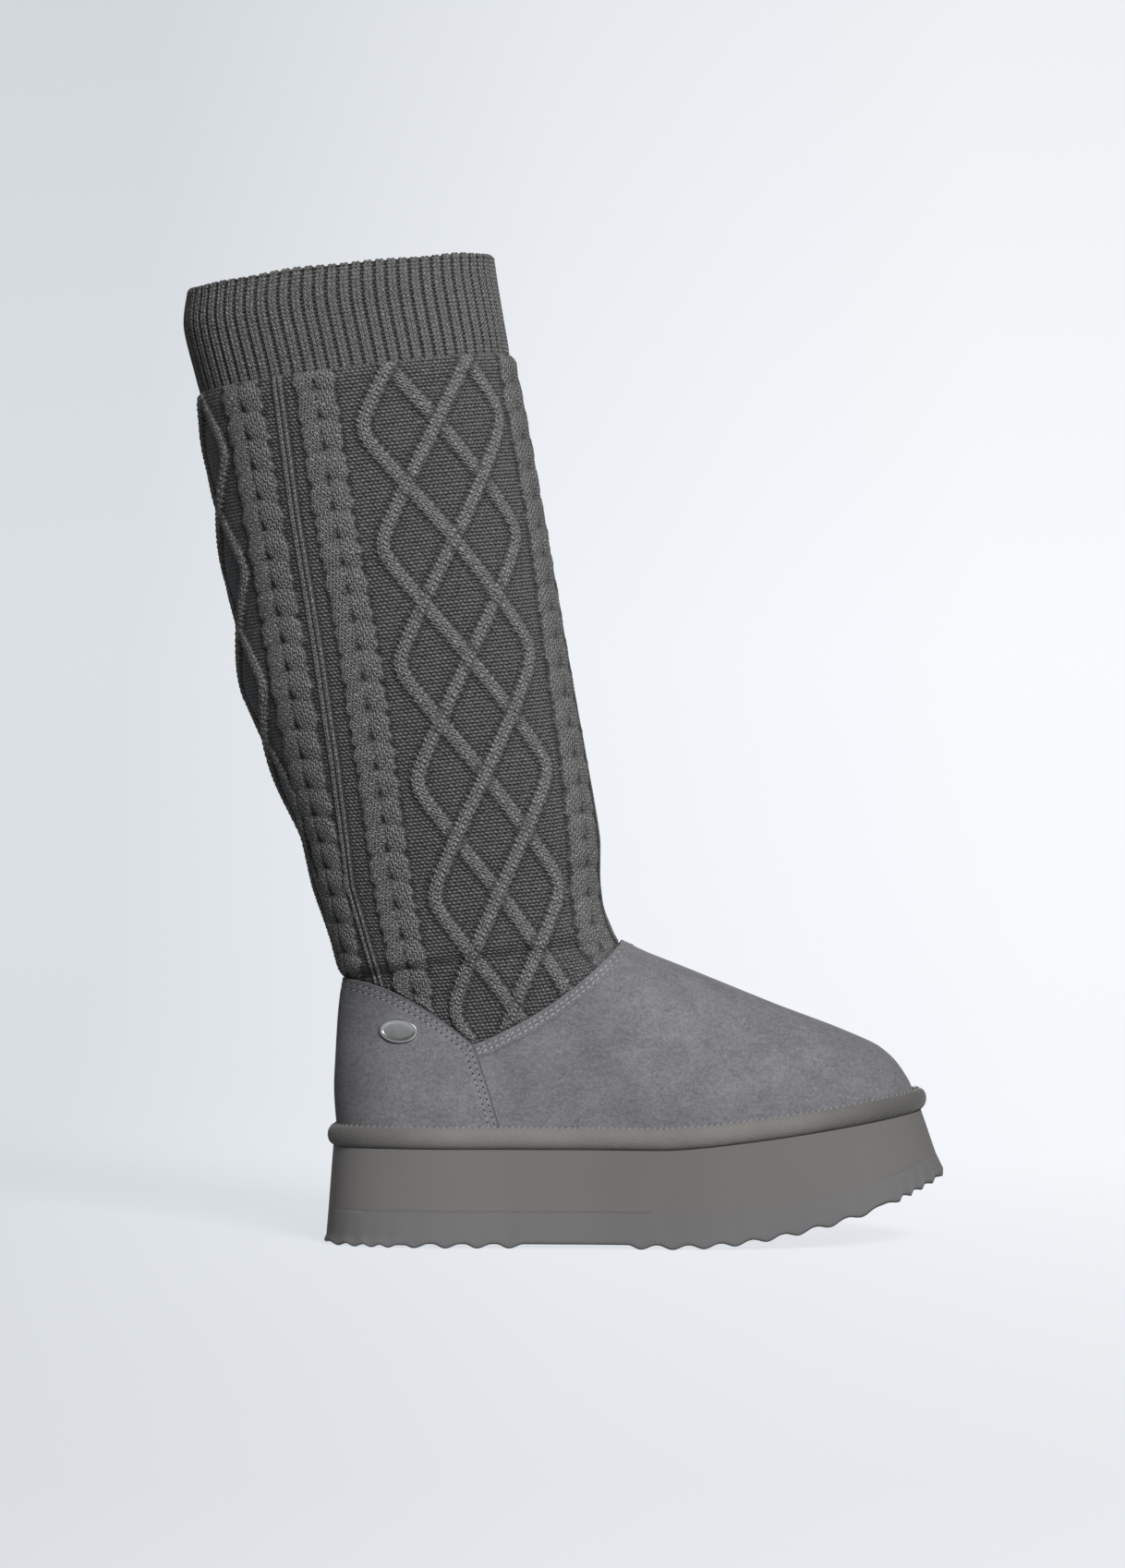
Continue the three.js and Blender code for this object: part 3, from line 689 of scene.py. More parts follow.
def sew(name, seams, size, look, slot):
    """Copies of one bead at each place of some seams, joined in one mesh."""
    points, faces = bead(np.array(size))
    places, ways, ups = map(np.concatenate, zip(*seams))
    ways, ups = unit(ways), unit(ups)
    frames = np.stack([ways, unit(np.cross(ups, ways)), ups], axis=1)
    laid = np.einsum("pk,nkj->npj", points, frames) + places[:, None]
    row = bpy.data.meshes.new(name)
    loops = [tuple(i + len(points) * n for i in face) for n in range(len(places)) for face in faces]
    row.from_pydata(laid.reshape(-1, 3).tolist(), [], loops)
    piece = bpy.data.objects.new(name, row)
    bpy.context.scene.collection.objects.link(piece)
    row.shade_smooth()
    fit(piece, look, slot)


def seam(line, pitch, out, lean=0.0, start=0.5):
    """Places, ways and ups of a row of stitches on both sides of the foot."""
    seen, way = evenly(line, pitch, start)
    step = 0.4 * MM
    found = []
    for side in (1, -1):
        here, there = [
            form_skin(foot_form, *on_last(x, z, side, out), out)
            for x, z in ((seen + way * move).T for move in (-step, step))
        ]
        ring, angle = on_last(*seen.T, side, out)
        up = form_skin(foot_form, ring, angle, 1 * MM) - form_point(foot_form, ring, angle)
        along_it = unit(there - here)
        found.append(((here + there) / 2, along_it + np.cross(up, along_it) * lean / MM, up))
    return [np.concatenate(parts) for parts in zip(*found)]


def spun_thread(name, tone):
    finish = Finish(name)
    twist = finish.noise(0.4 * MM, detail=1)
    colour = finish.shade(tone, 0.75 + twist * 0.5)
    return finish.done(Base_Color=colour, Roughness=0.7, Normal=finish.bump(twist, 0.1 * MM, 0.6))


pale_thread = spun_thread("pale_thread", (0.52, 0.51, 0.5))
grey_thread = spun_thread("grey_thread", (0.36, 0.36, 0.37))
# Needle holes: near-black beads, painted shade where the thread goes through the suede.
needle_hole_shade = spun_thread("needle_hole_shade", (0.018, 0.018, 0.02))
stitch_pitch, stitch_bed, vamp_stitch = 2.8 * MM, 0.2 * MM, (2.0 * MM, 0.5 * MM, 0.42 * MM)
vamp_hole = (0.6 * MM, 0.6 * MM, 0.2 * MM)
band_top = suede_face + band_height - stitch_bed
lines = [shifted(vamp_top, row) for row in seam_rows]
sew("vamp_stitches", [seam(line, stitch_pitch, band_top, 0.12) for line in lines],
    vamp_stitch, pale_thread, "suede")
# Painted shade at each needle hole of the vamp's seams.
sew("vamp_needle_holes", [seam(line, stitch_pitch, band_top - 0.02 * MM, 0, 1.0) for line in lines],
    vamp_hole, needle_hole_shade, "suede")

# Heel counter. A second piece of suede wraps the heel over the upper, from the back seam to a
# curved front edge that runs down to the sole. A double row of stitching follows its edge.
counter_back = suede_face + gap
counter_face = counter_back + counter_wall
counter_edge = np.concatenate([counter_top, counter_front[1:]])


def angle_on_front(ring):
    """The angle where the counter's front edge crosses a ring."""
    front = counter_front[::-1]

    def too_far_back(angle):
        point = form_skin(foot_form, ring, angle, counter_face)
        return point[..., 0] < np.interp(point[..., 2], front[:, 1], front[:, 0])
    return halve(np.full(ring.shape, 0.3), np.full(ring.shape, 2.6), too_far_back)


crowded = np.linspace(0, 1, 64)
up_share = (1 - (1 - crowded) ** 1.5)[:, None]
even = np.linspace(-1, 1, 150)
side_share = np.sign(even) * (1 - (1 - np.abs(even)) ** 1.35)
notch_ring = on_last(np.array([notch[0]]), np.array([notch[1]]), 1, counter_face)[0]
front_angle = angle_on_front(up_share[:, 0] * notch_ring)
counter_angles = side_share * front_angle[:, None]
counter_tops = ring_on(counter_top, side_share * front_angle[-1], counter_face + 0 * side_share)
counter_rings = up_share * counter_tops
flat = form_skin(foot_form, counter_rings, counter_angles, counter_face + 0 * counter_rings)
inset = off_line(counter_edge, flat[..., 0], flat[..., 2])
inset = np.where(up_share < 1, inset, 0)
counter_rows, counter_stitch, counter_hole = (
    (1.9 * MM, 4.4 * MM), (1.9 * MM, 0.5 * MM, 0.4 * MM), (0.8 * MM, 0.8 * MM, 0.22 * MM))
edge_drop, edge_reach = 0.55 * MM, 0.8 * MM
roll = edge_drop * (1 - np.sqrt(1 - (1 - np.clip(inset / edge_reach, 0, 1)) ** 2))
trough = sum(stitch_bed * np.exp(-((inset - row) / (0.4 * MM)) ** 2) for row in counter_rows)
outs = counter_face - roll - trough + suede_cloud(flat) * ease(inset / (8 * MM)) * 0.7
# The cut mark darkens the counter's edge: partly raw suede, partly a painted shadow.
counter = close_shell(
    skin("heel_counter_suede", form_skin(foot_form, counter_rings, counter_angles, outs), {},
         {"cut": np.exp(-(inset / (0.5 * MM)) ** 2) * (up_share < 1)}),
    skin("counter_inside", form_skin(foot_form, counter_rings, counter_angles, counter_back + 0 * outs)),
    bridge=True)
fit(counter, suede, "suede", "heel_counter")
for number, row in enumerate(counter_rows):
    inner = shifted(counter_edge, row)
    inner = inner[(inner[:, 0] > along(-0.012)) & (inner[:, 1] > above(0.08))]
    sew(f"counter_stitches_{number + 1}", [seam(inner, stitch_pitch, counter_face - 0.1 * MM, 0.15)],
        counter_stitch, grey_thread, "suede")
    # Painted shade at each needle hole of the counter's seams.
    sew(f"counter_needle_holes_{number + 1}", [seam(inner, stitch_pitch, counter_face - 0.05 * MM, 0, 1.0)],
        counter_hole, needle_hole_shade, "suede")

# Welt. A strip of woven tape, folded over a soft core, runs round the join of upper and platform.
# It is sewn to the upper along its top with small grey stitches that draw its upper edge in.
welt_height, welt_width, welt_out, welt_ring = 9.4 * MM, 8.8 * MM, 3.7 * MM, 0.3
welt_pitch, welt_stitch, welt_pinch = 2.75 * MM, (1.9 * MM, 0.42 * MM, 0.3 * MM), 0.28 * MM
heel_ring_rise, toe_ring_rise = 13.5 * MM, 7.8 * MM     # how high the last's next ring stands
welt_angles = even_angles(foot_form, 0, 720)
welt_place, welt_away = sole_edge(welt_ring, welt_angles)
walked = walk(welt_place)
pinch_pitch = walked[-1] / round(walked[-1] / welt_pitch)
pinch = np.cos(walked / pinch_pitch * 2 * math.pi)
rows = []
for turn in np.linspace(-math.pi / 2, 1.5 * math.pi, 33):
    squeeze = np.sign(math.cos(turn)) * abs(math.cos(turn)) ** 0.8
    reach = welt_out + welt_width / 2 * squeeze
    rise = welt_height / 2 * (1 + math.sin(turn))
    drawn = welt_pinch * pinch * max(0, math.sin(turn)) ** 4 * (squeeze > -0.6)
    x = (welt_place + welt_away * reach)[:, 0]
    ring_rise = mix(heel_ring_rise, toe_ring_rise, np.clip((x - last_back) / upper_length, 0, 1))
    foot_ring = np.clip(rise / ring_rise, 0, 1)
    behind = (welt_angles < front_angle[0] + 0.03) | (welt_angles > 2 * math.pi - front_angle[0] - 0.03)
    clear = np.where(behind, counter_face, suede_face) + 0.1 * MM
    wall = form_skin(foot_form, foot_ring, welt_angles, clear)
    against = np.einsum("nk,nk->n", wall - welt_place, welt_away)
    row = welt_place + welt_away * np.maximum(reach, against)[:, None]
    row[:, 2] = platform_height + toe_rise(row[:, 0]) + rise - drawn
    rows.append(row)
rows[-1] = rows[0]
tape_map = np.stack(np.broadcast_arrays(walked / MM, (np.linspace(0, 26, 33))[:, None]), axis=-1)
welt = close_shell(skin("welt_tape", np.array(rows), {"tape": tape_map}))


def woven_tape():
    """Cotton tape: a fine slanting twill with a little dust; painted shade darkens it at the heel, and it
    is darker towards the toe.
    """
    finish = Finish("woven_tape")
    x, _, _ = finish.place()
    along_it, across_it = finish.map("tape")
    wobble = finish.noise(3 * MM) * 0.7
    slant = (along_it * 0.85 + across_it * 0.8 + wobble) % 1
    cross = (across_it * 1.3 - along_it * 0.2) % 1
    cord = 1 - abs(slant * 2 - 1) ** 2
    pick = 1 - abs(cross * 2 - 1) ** 2
    weave = cord * (0.6 + pick * 0.4)
    dust = finish.noise(18 * MM, detail=4, rough=0.6)
    fuzz = finish.noise(0.3 * MM, detail=2)
    # Painted shade at the heel; the tape is also darker towards the toe.
    heel = finish.fade(x, -38 * MM, 20 * MM, 0.5, 1.0, "SMOOTHSTEP")
    toe = finish.fade(x, 150 * MM, 225 * MM, 1.0, 0.44, "SMOOTHSTEP")
    colour = finish.between(dust, (0.165, 0.158, 0.15), (0.235, 0.226, 0.215))
    colour = finish.shade(colour, (0.34 + weave * 1.1 + fuzz * 0.35) * heel * toe)
    normal = finish.bump(weave + fuzz * 0.3, 0.3 * MM, 0.8)
    return finish.done(Base_Color=colour, Roughness=0.9, Normal=normal, Sheen_Weight=0.15)


fit(welt, woven_tape(), "tape", "welt")
at = np.arange(0.5, walked[-1] / pinch_pitch) * pinch_pitch
stitch_angle = np.interp(at, walked, welt_angles)
top_row = np.array(rows)[15]
spot = read_off(at, walked, top_row)
_, away = sole_edge(welt_ring, stitch_angle)
upwards = np.array([0, 0, 1.0])
way = np.cross(away, upwards) * 0.55 + (away * 0.5 - upwards * 0.45)
sew("welt_stitches", [(spot + upwards * 0.15 * MM, way, away * 0.6 + upwards)],
    welt_stitch, grey_thread, "tape")


# Knitted shaft. One tube of heather wool, knitted in the round as three like panels: a wide
# lattice of travelling bands between pairs of wheat cables, with two thin wales between a pair,
# all raised on reversed stocking stitch. Its foot runs down inside the suede's edge.
knit_wall, cuff_draw = 2.8 * MM, 0.8 * MM
stitch_wide, stitch_high = 2.05 * MM, 1.6 * MM
PANEL_TURN = 120            # degrees
# In a panel, in degrees: the two cables and their half-widths, the wales between, and the lattice
CABLES, WALES, LATTICE = ((12.0, 10.8 * MM), (43.2, 8.9 * MM)), (27.6, 2.5 * MM), (58.5, 117.3)
cable_repeat, cable_lift, groove_sweep, groove_wide = 12.8 * MM, 2.1 * MM, 3.4 * MM, 1.2 * MM
strand_pitch, strand_stitch, wale_lift, wale_stitch = 2.5 * MM, 1.9 * MM, 1.05 * MM, 1.8 * MM
band_half, band_lift, lattice_repeat, lattice_start = 3.25 * MM, 1.8 * MM, 209 * MM, 2.0 * MM
band_dip, band_step, band_stitch = 0.4 * MM, 3.0 * MM, 2.1 * MM
WALE_TURNS = (42.0, 57.6, 73.2, 88.5, 117.4, 147.3, 151.5)
# Where those wales stand along the boot, seen from the side. Columns: height, then each wale
WALE_PLACES = np.array([
    [80, -21, -8, 6, 23, 47, 73, 77], [110, -27, -14, 0, 17, 42.5, 68, 72.5],
    [158.5, -37, -28, -9.5, 8.5, 37.5, 63.5, 68], [211.5, -48.5, -34.5, -16.5, 1, 29.5, 58, 63.5],
    [264, -57, -42, -24, -6.5, 23, 50.5, 56], [321, -66.5, -51.5, -34.5, -15, 15, 43.5, 49],
    [373, -75.5, -58.5, -42, -24, 4, 36, 39.5], [400, -80.5, -62, -46.5, -28.5, -1.5, 32, 35.5],
]) * MM
lap_line = shifted(topline, suede_lap)


def landmark_turns(rings):
    """The real turn of each landmark wale at each ring, worked out from its place in side view."""
    back_x, front_x, back_z, front_z, _, _, follow, rounding = [
        column[:, None] for column in ring_row(leg_form, rings)]
    place = np.full((len(rings), WALE_PLACES.shape[1] - 1), 0.5)
    for _ in range(12):
        x = mix(back_x, front_x, place)
        z = mix(back_z, front_z, place) + follow * toe_rise(x)
        wanted = np.stack([np.interp(z[:, j], WALE_PLACES[:, 0], WALE_PLACES[:, j + 1])
                           for j in range(place.shape[1])], axis=1)
        place = np.clip((wanted - back_x) / (front_x - back_x), 0.01, 0.985)
    across_it = 1 - 2 * place
    return np.degrees(np.arccos(np.sign(across_it) * np.abs(across_it) ** (rounding / 2)))


knit_rings = np.linspace(2, COLLAR, 400)
near_turns = landmark_turns(knit_rings)
far_turns = near_turns[:, ::-1]
whole = np.full((len(knit_rings), 1), 360.0)
real_turns = np.concatenate([-far_turns, 0 * whole, near_turns, whole / 2, whole - far_turns, whole],
                            axis=1)
chart = np.array(WALE_TURNS)
chart = np.concatenate([-chart[::-1], [0], chart, [180], 360 - chart[::-1], [360]])


def knit_turn(ring, angle):
    """The real turns of the chart's columns, which hang straighter than the leg and bunch at the heel."""
    at = np.degrees(angle) % 360
    table = np.array([monotone(chart, row[:, None], at)[:, 0] for row in real_turns])
    turns = [np.interp(ring[:, i], knit_rings, table[:, i]) for i in range(len(at))]
    return np.radians(np.stack(turns, axis=1))


def knit_base(ring, angle):
    return form_point(leg_form, ring, knit_turn(ring, angle))


def lap_ring(angle):
    """The ring where the knit ends, inside the suede's edge."""
    def too_low(ring):
        point = knit_base(ring[None], angle)[0]
        return point[..., 2] < height_of(lap_line, point[..., 0])
    return halve(np.full(angle.shape, 2.2), np.full(angle.shape, 8.0), too_low, 22)


def zigzag(turn):
    """Runs from 0 to 1 and back over a whole turn, with its corners rounded."""
    tight = 0.985
    return 0.5 - np.arcsin(tight * np.cos(2 * math.pi * turn)) / (2 * math.asin(tight))


def relief(turn, side, down):
    """Height, raised share, hollow shade and the bands' own map over a panel.

    turn is the columns' place in degrees, side and down are distances over the knit."""
    def at(degrees):
        return np.array([np.interp(degrees, turn, row) for row in side])[:, None]

    wale, course = side / stitch_wide, down / stitch_high
    left, right = at(LATTICE[0]), at(LATTICE[1])
    nearest = np.full(side.shape, 9.0)
    tallest = np.zeros(side.shape)
    shade = np.zeros(side.shape)
    for strand in range(4):
        phase = (down - lattice_start) / lattice_repeat + 0.125 + 0.25 * strand
        share = zigzag(phase)
        slope = (right - left) * (zigzag(phase + 0.002) - zigzag(phase - 0.002)) / (0.004 * lattice_repeat)
        u = (side - left - share * (right - left)) / np.sqrt(1 + slope ** 2) / band_half
        run = np.cumsum(np.sqrt(1 + slope ** 2) * np.gradient(down, axis=0), axis=0)
        uneven = 1.3 * np.sin(run / (6.1 * MM) + strand) + 0.9 * np.sin(run / (2.7 * MM) + 2 * strand)
        step = np.cos(2 * math.pi * run / band_step + 1.6 * np.sign(u) + uneven)
        edge = np.abs(u) * (1 + 0.2 * step)
        going = np.sign(np.sin(2 * math.pi * phase))
        inside = ease(np.minimum(share, 1 - share) / 0.13)
        lift = band_lift - band_dip * going * inside
        dome = lift * np.sqrt(np.clip(1 - edge ** 2.6, 0, 1)) * (1 + 0.14 * step)
        over = dome > tallest
        first = over | ((tallest == 0) & (dome == 0) & (edge < nearest))
        wale = np.where(first, u + 1, wale)
        course = np.where(first, run / band_stitch, course)
        rim = 0.9 * ease((1.75 - edge) / 0.75) * ease((edge - 0.8) / 0.2)
        shade = np.where(over & (edge < 0.8), 0, np.maximum(shade, rim))
        nearest = np.minimum(nearest, edge)
        tallest = np.maximum(tallest, dome)
    height = tallest
    raised = ease((1.05 - nearest) / 0.14)

    for number, (middle, half_wide) in enumerate(CABLES):
        q = (side - at(middle)) / half_wide
        w = np.abs(q)
        drift = 0.37 * number + 0.08 * np.sin(down / (17 * MM) + number)
        beat = (down - groove_sweep * w ** 1.3) / cable_repeat + drift
        from_groove = np.abs((beat + 0.5) % 1 - 0.5) * cable_repeat
        groove = np.exp(-(from_groove / groove_wide) ** 2)
        ragged = (0.05 * np.sin(down / (1.1 * MM) + number)
                  + 0.04 * np.sin(down / (2.9 * MM) + 3 * np.sign(q)))
        outline = w * (0.96 + 0.15 * groove + ragged)
        dome = np.sqrt(np.clip(1 - outline ** 5, 0, 1))
        spine = np.exp(-(q / 0.09) ** 2)
        pit_beat = (beat + 0.46) % 1 - 0.5
        below_pit = pit_beat * cable_repeat + 2.2 * MM * w
        pit = np.exp(-(q / 0.3) ** 2 - ((below_pit - 3.0 * MM * w) / (1.1 * MM)) ** 2)
        pit = np.maximum(pit, np.exp(-(q / 0.1) ** 2 - ((below_pit + 1.2 * MM) / (2.2 * MM)) ** 2))
        creased = 0.15 + 0.85 * np.abs(2 * w - 1) ** 1.5
        strands_in = (w * half_wide * 0.75 + down * 0.66) / strand_pitch
        strands = np.cos(2 * math.pi * strands_in)
        lobes = 0.88 - 0.25 * spine - 0.34 * groove * creased - 0.5 * pit + 0.07 * strands
        swell = 0.9 + 0.12 * np.sin(2 * math.pi * (beat - 0.25))
        here = outline < 1
        height = np.where(here, cable_lift * dome * lobes * swell, height)
        raised = np.where(w < 1.05, ease((1.0 - outline) / 0.06), raised)
        dark = np.maximum(0.95 * pit + 0.3 * spine, 0.5 * groove * creased) - 0.12 * strands
        beside = ease((1.25 - w) / 0.22) * 0.95
        shade = np.where(here, dark, np.where(w < 1.25, np.maximum(beside, shade), shade))
        wale = np.where(here, strands_in, wale)
        course = np.where(here, (down * 0.75 - w * half_wide * 0.66) / strand_stitch, course)

    q = (side - at(WALES[0])) / WALES[1]
    w = np.abs(q)
    here = w < 1
    height = np.where(here, wale_lift * np.clip(1 - (2.3 * w - 1.3) ** 2, 0, 1) ** 0.6, height)
    raised = np.where(here, ease(height / (0.4 * MM)), raised)
    wale = np.where(here, q + 1, wale)
    course = np.where(here, down / wale_stitch, course)
    shade = np.where(w < 1.7, np.maximum(ease((1.7 - w) / 0.5) * (w >= 1), here * (1 - raised)), shade)
    return height, raised, shade, np.stack([wale, course], axis=-1)


def heather_knit():
    """Heather wool: light and dark fibres spun together, worked as plain or reversed stitches. The stitch
    pattern paints shade into the hollows between stitches, raised stitches get painted light, and the shade
    mark paints shade in and beside bands and cables.
    """
    finish = Finish("heather_knit")

    def fraction(value):
        return finish.math("FRACT", value)

    u, v = finish.map("ground")
    wander = finish.noise(5 * MM, detail=1) - 0.5
    jolt = finish.noise(1.7 * MM, detail=1) - 0.5
    v = v + jolt * 0.55
    row = finish.math("FLOOR", v)
    in_row = v - row
    grain = fraction(u + row * 0.5 + wander * 0.8 + jolt * 0.4)
    arch = abs(grain * 2 - 1) ** 2
    purl = (1 - arch * 0.85) * (1 - abs((in_row - arch * 0.22) * 2.4 - 0.95) ** 2)
    purl = finish.math("MAXIMUM", purl, 0)
    u, v = finish.map("bands")
    leg = abs(fraction(u + jolt * 0.6) * 2 - 1)
    loop = fraction(v + leg * 0.75 + wander * 0.5 + jolt * 0.9)
    plain = (1 - abs(leg * 2 - 1) ** 3 * 0.6) * (0.1 + 0.95 * (1 - abs(loop * 2 - 1) ** 2))
    raised, shade = finish.mark("raised"), finish.mark("shade")
    stitch = purl * (1 - raised) + plain * raised
    fibre = finish.noise(0.7 * MM, detail=3, rough=0.75)
    fleck = finish.noise(1.8 * MM, detail=3, rough=0.8)
    tint = finish.noise(3.5 * MM, detail=2)
    yarn = finish.between(tint * 0.7 + raised * 0.2, (0.137, 0.14, 0.15), (0.16, 0.156, 0.147))
    # Painted shade and light: the stitch pattern darkens the hollows between stitches, raised stitches are
    # made lighter, and the shade mark darkens hollows and the ground beside bands and cables.
    light = 0.17 + stitch * 1.35 + (fibre - 0.5) * 2.0 + (fleck - 0.5) * 1.8
    light = finish.math("MAXIMUM", light, 0.08) * (1.0 + raised * 0.28) * (1 - shade * 0.72)
    colour = finish.shade(yarn, light)
    normal = finish.bump(stitch + fibre * 0.3, 1.0 * MM, 1.0)
    return finish.done(Base_Color=colour, Roughness=0.95, Normal=normal, Sheen_Weight=0.12,
                       Sheen_Roughness=0.6, Specular_IOR_Level=0.25)


knit = heather_knit()
rows_above, rows_below, panel_columns, coarse = 364, 56, 184, 4
middle_line = np.linspace(CUFF, THROAT + 1, 800)
walked_down = walk(form_point(leg_form, middle_line, math.pi / 2))
upper_rings = np.interp(np.linspace(0, walked_down[-1], rows_above + 1), walked_down, middle_line)
fine_angles = np.linspace(0, 4 * math.pi, 6001)
walked_round = walk(form_point(leg_form, CUFF - 5, fine_angles))
for number, name in enumerate(("outer_side", "front_and_inner_side", "back")):
    start, end = np.radians([30 + PANEL_TURN * number, 30 + PANEL_TURN * (number + 1)])
    ends = np.interp([start, end], fine_angles, walked_round)
    spacing = (ends[1] - ends[0]) / panel_columns
    reach = np.linspace(ends[0] - spacing, ends[1] + spacing, panel_columns + 3)
    angle = np.interp(reach, walked_round, fine_angles)
    foot_rings = lap_ring(angle)
    down_share = np.linspace(0, 1, rows_below + 1)[1:, None]
    ring = np.concatenate([np.repeat(upper_rings[:, None], len(angle), axis=1),
                           mix(upper_rings[-1], foot_rings, down_share)])
    base = knit_base(ring, angle)
    face = unit(np.cross(np.gradient(base, axis=1), -np.gradient(base, axis=0)))
    base, face = base[:, 1:-1], face[:, 1:-1]
    side, down = walk(base, 1), walk(base, 0)
    turn = np.degrees(angle[1:-1] - start)
    height, raised, shade, bands = relief(turn, side, down)
    from_edge = base[..., 2] - height_of(topline, base[..., 0])
    begins = ease(down / (1.6 * MM)) * ease((from_edge + 0.5 * MM) / (2.6 * MM))
    shade = np.maximum(shade, 0.4 * ease((2.4 * MM - from_edge) / (2.5 * MM)))
    drawn_in = cuff_draw * 0.6 * (1 - ease(down / (3 * MM)))
    swell = 0.35 * MM * np.exp(-((down - 6 * MM) / (4 * MM)) ** 2)
    uneven = 0.12 * MM * np.sin(side / (7 * MM) + down / (11 * MM)) * np.sin(down / (9 * MM) + number)
    raise_by = height * begins + (swell - drawn_in) * (from_edge > 0) + uneven * begins
    lifted = base + face * raise_by[..., None]
    ground = np.stack([side / stitch_wide, down / stitch_high], axis=-1)
    outside = skin("knit_" + name, lifted, {"ground": ground, "bands": bands},
                   {"raised": raised, "shade": shade})
    thin = (slice(None, None, coarse), slice(None, None, coarse))
    back_wall = (base - face * knit_wall)[thin]
    inside = skin("knit_inside", back_wall, {"ground": ground[thin], "bands": bands[thin]},
                  {"raised": raised[thin] * 0, "shade": shade[thin] * 0})
    panel = close_shell(outside, inside, bridge=True, sharp=70)
    if number == 0:
        fit(panel, knit, "knit", "knit_shaft")
    else:
        fit(panel, knit, "knit")

# Cuff. The top of the same tube, about 45 mm of two-by-one rib that draws it in a little. It is
# bound off with no hem, so the rim is soft and finely scalloped.
RIBS, rib_samples = 71, 11
rib_lift, rib_sink, rib_stitch = 0.85 * MM, 0.35 * MM, 1.75 * MM
rim, rim_drop, rim_inset = 1.05 * MM, 1.6 * MM, 1.0 * MM
once_round = np.interp(2 * math.pi, fine_angles, walked_round)
cuff_angles = np.interp(np.linspace(0, 1, RIBS * rib_samples + 1) * once_round, walked_round, fine_angles)
rib_turn = np.linspace(0, RIBS, RIBS * rib_samples + 1)


def rib_height(turn):
    """Two plain wales and a purl groove, as a share of the rib's lift."""
    place = turn % 1
    wales = np.maximum(1 - ((place - 0.21) / 0.2) ** 2, 1 - ((place - 0.57) / 0.2) ** 2)
    return np.clip(wales, 0, 1) ** 0.6


ribs = rib_height(rib_turn)
rows = []
top_points = form_point(leg_form, np.full(cuff_angles.shape, float(COLLAR)), cuff_angles)
up = unit(top_points - form_point(leg_form, COLLAR - 0.15, cuff_angles))
lower_points = form_point(leg_form, COLLAR - 0.3, cuff_angles)
face = unit(form_skin(leg_form, COLLAR - 0.3, cuff_angles, 1 * MM + 0 * cuff_angles) - lower_points)
wander = 0.35 * MM * np.sin(cuff_angles * 5 + 1) + 0.25 * MM * np.sin(cuff_angles * 11)
for share in np.linspace(0, 1, 30):
    ring = mix(CUFF - 0.02, COLLAR - 0.06, share)
    lift = rib_lift * ribs * (0.55 + 0.45 * ease(share * 12))
    sway = 0.3 * MM * math.sin(share * 7) * np.sin(cuff_angles * 3)
    rows.append(form_skin(leg_form, ring, cuff_angles, lift + sway - cuff_draw - rib_sink))
rim_centre = top_points - up * rim_drop - face * (cuff_draw + rim_inset)
for turn in np.linspace(0.15, math.pi, 8):
    thick = rim + 0.55 * MM * ribs * max(0, math.cos(turn / 2))
    over = math.sin(turn) * (thick + 0.5 * MM * ribs + wander)
    rows.append(rim_centre + face * math.cos(turn) * thick[:, None] + up * over[:, None])
for share in np.linspace(1, 0, 9):
    ring = mix(CUFF - 0.02, COLLAR - 0.12, share)
    rows.append(form_skin(leg_form, ring, cuff_angles, rib_sink * (1 - ribs) - knit_wall))
rows.append(rows[0])
cuff_points = np.array(rows)
cuff_down = walk(cuff_points, 0)
wale = np.broadcast_to(rib_turn, cuff_down.shape)
place = wale % 1
wale_number = np.floor(wale) * 3 + np.interp(place, [0, 0.01, 0.39, 0.77, 1], [0, 0, 1, 2, 3])
cuff_bands = np.stack([wale_number, cuff_down / rib_stitch], axis=-1)
cuff_ground = np.stack([wale * 2.5, cuff_down / stitch_high], axis=-1)
cuff_raised = ease((np.broadcast_to(ribs, cuff_down.shape) - 0.25) / 0.6)
cuff = close_shell(skin("knit_cuff", cuff_points, {"ground": cuff_ground, "bands": cuff_bands},
                       {"raised": cuff_raised, "shade": (1 - cuff_raised) * 0.8}), sharp=70)
fit(cuff, knit, "knit")

# Badge. A small oval of cast metal on the counter's outer side: a plain, finely brushed plate in
# a raised, polished rim. It is held by two studs that don't show.
badge_length, badge_width, badge_plate = 16.5 * MM, 10.5 * MM, 0.9 * MM
badge_rim_height, badge_rim_width, badge_rounding = 1.6 * MM, 1.3 * MM, 0.42 * MM
badge_sunk, badge_tilt = 0.05 * MM, 0.06
badge_centre = np.array([along(0.0976), above(0.573)])
bpy.ops.object.select_all(action="DESELECT")
bpy.ops.mesh.primitive_circle_add(vertices=96, radius=0.5, fill_type="NGON")
badge = bpy.context.object
badge.name = badge.data.name = "badge_oval"
badge.scale = (badge_length, badge_width, 1)
bpy.ops.object.transform_apply(location=False, rotation=False, scale=True)
bpy.ops.object.mode_set(mode="EDIT")
bpy.ops.mesh.select_mode(type="FACE")
bpy.ops.mesh.select_all(action="SELECT")
bpy.ops.mesh.extrude_region_move(TRANSFORM_OT_translate={"value": (0, 0, badge_rim_height)})
bpy.ops.mesh.inset(thickness=badge_rim_width)
bpy.ops.mesh.extrude_region_move(TRANSFORM_OT_translate={"value": (0, 0, badge_plate - badge_rim_height)})
for _ in range(4):
    bpy.ops.mesh.extrude_region_move()
    bpy.ops.transform.resize(value=(0.7, 0.7, 1), center_override=(0, 0, badge_plate))
bpy.ops.mesh.select_all(action="SELECT")
bpy.ops.mesh.normals_make_consistent(inside=False)
bpy.ops.object.mode_set(mode="OBJECT")
rounding = badge.modifiers.new("rounding", "BEVEL")
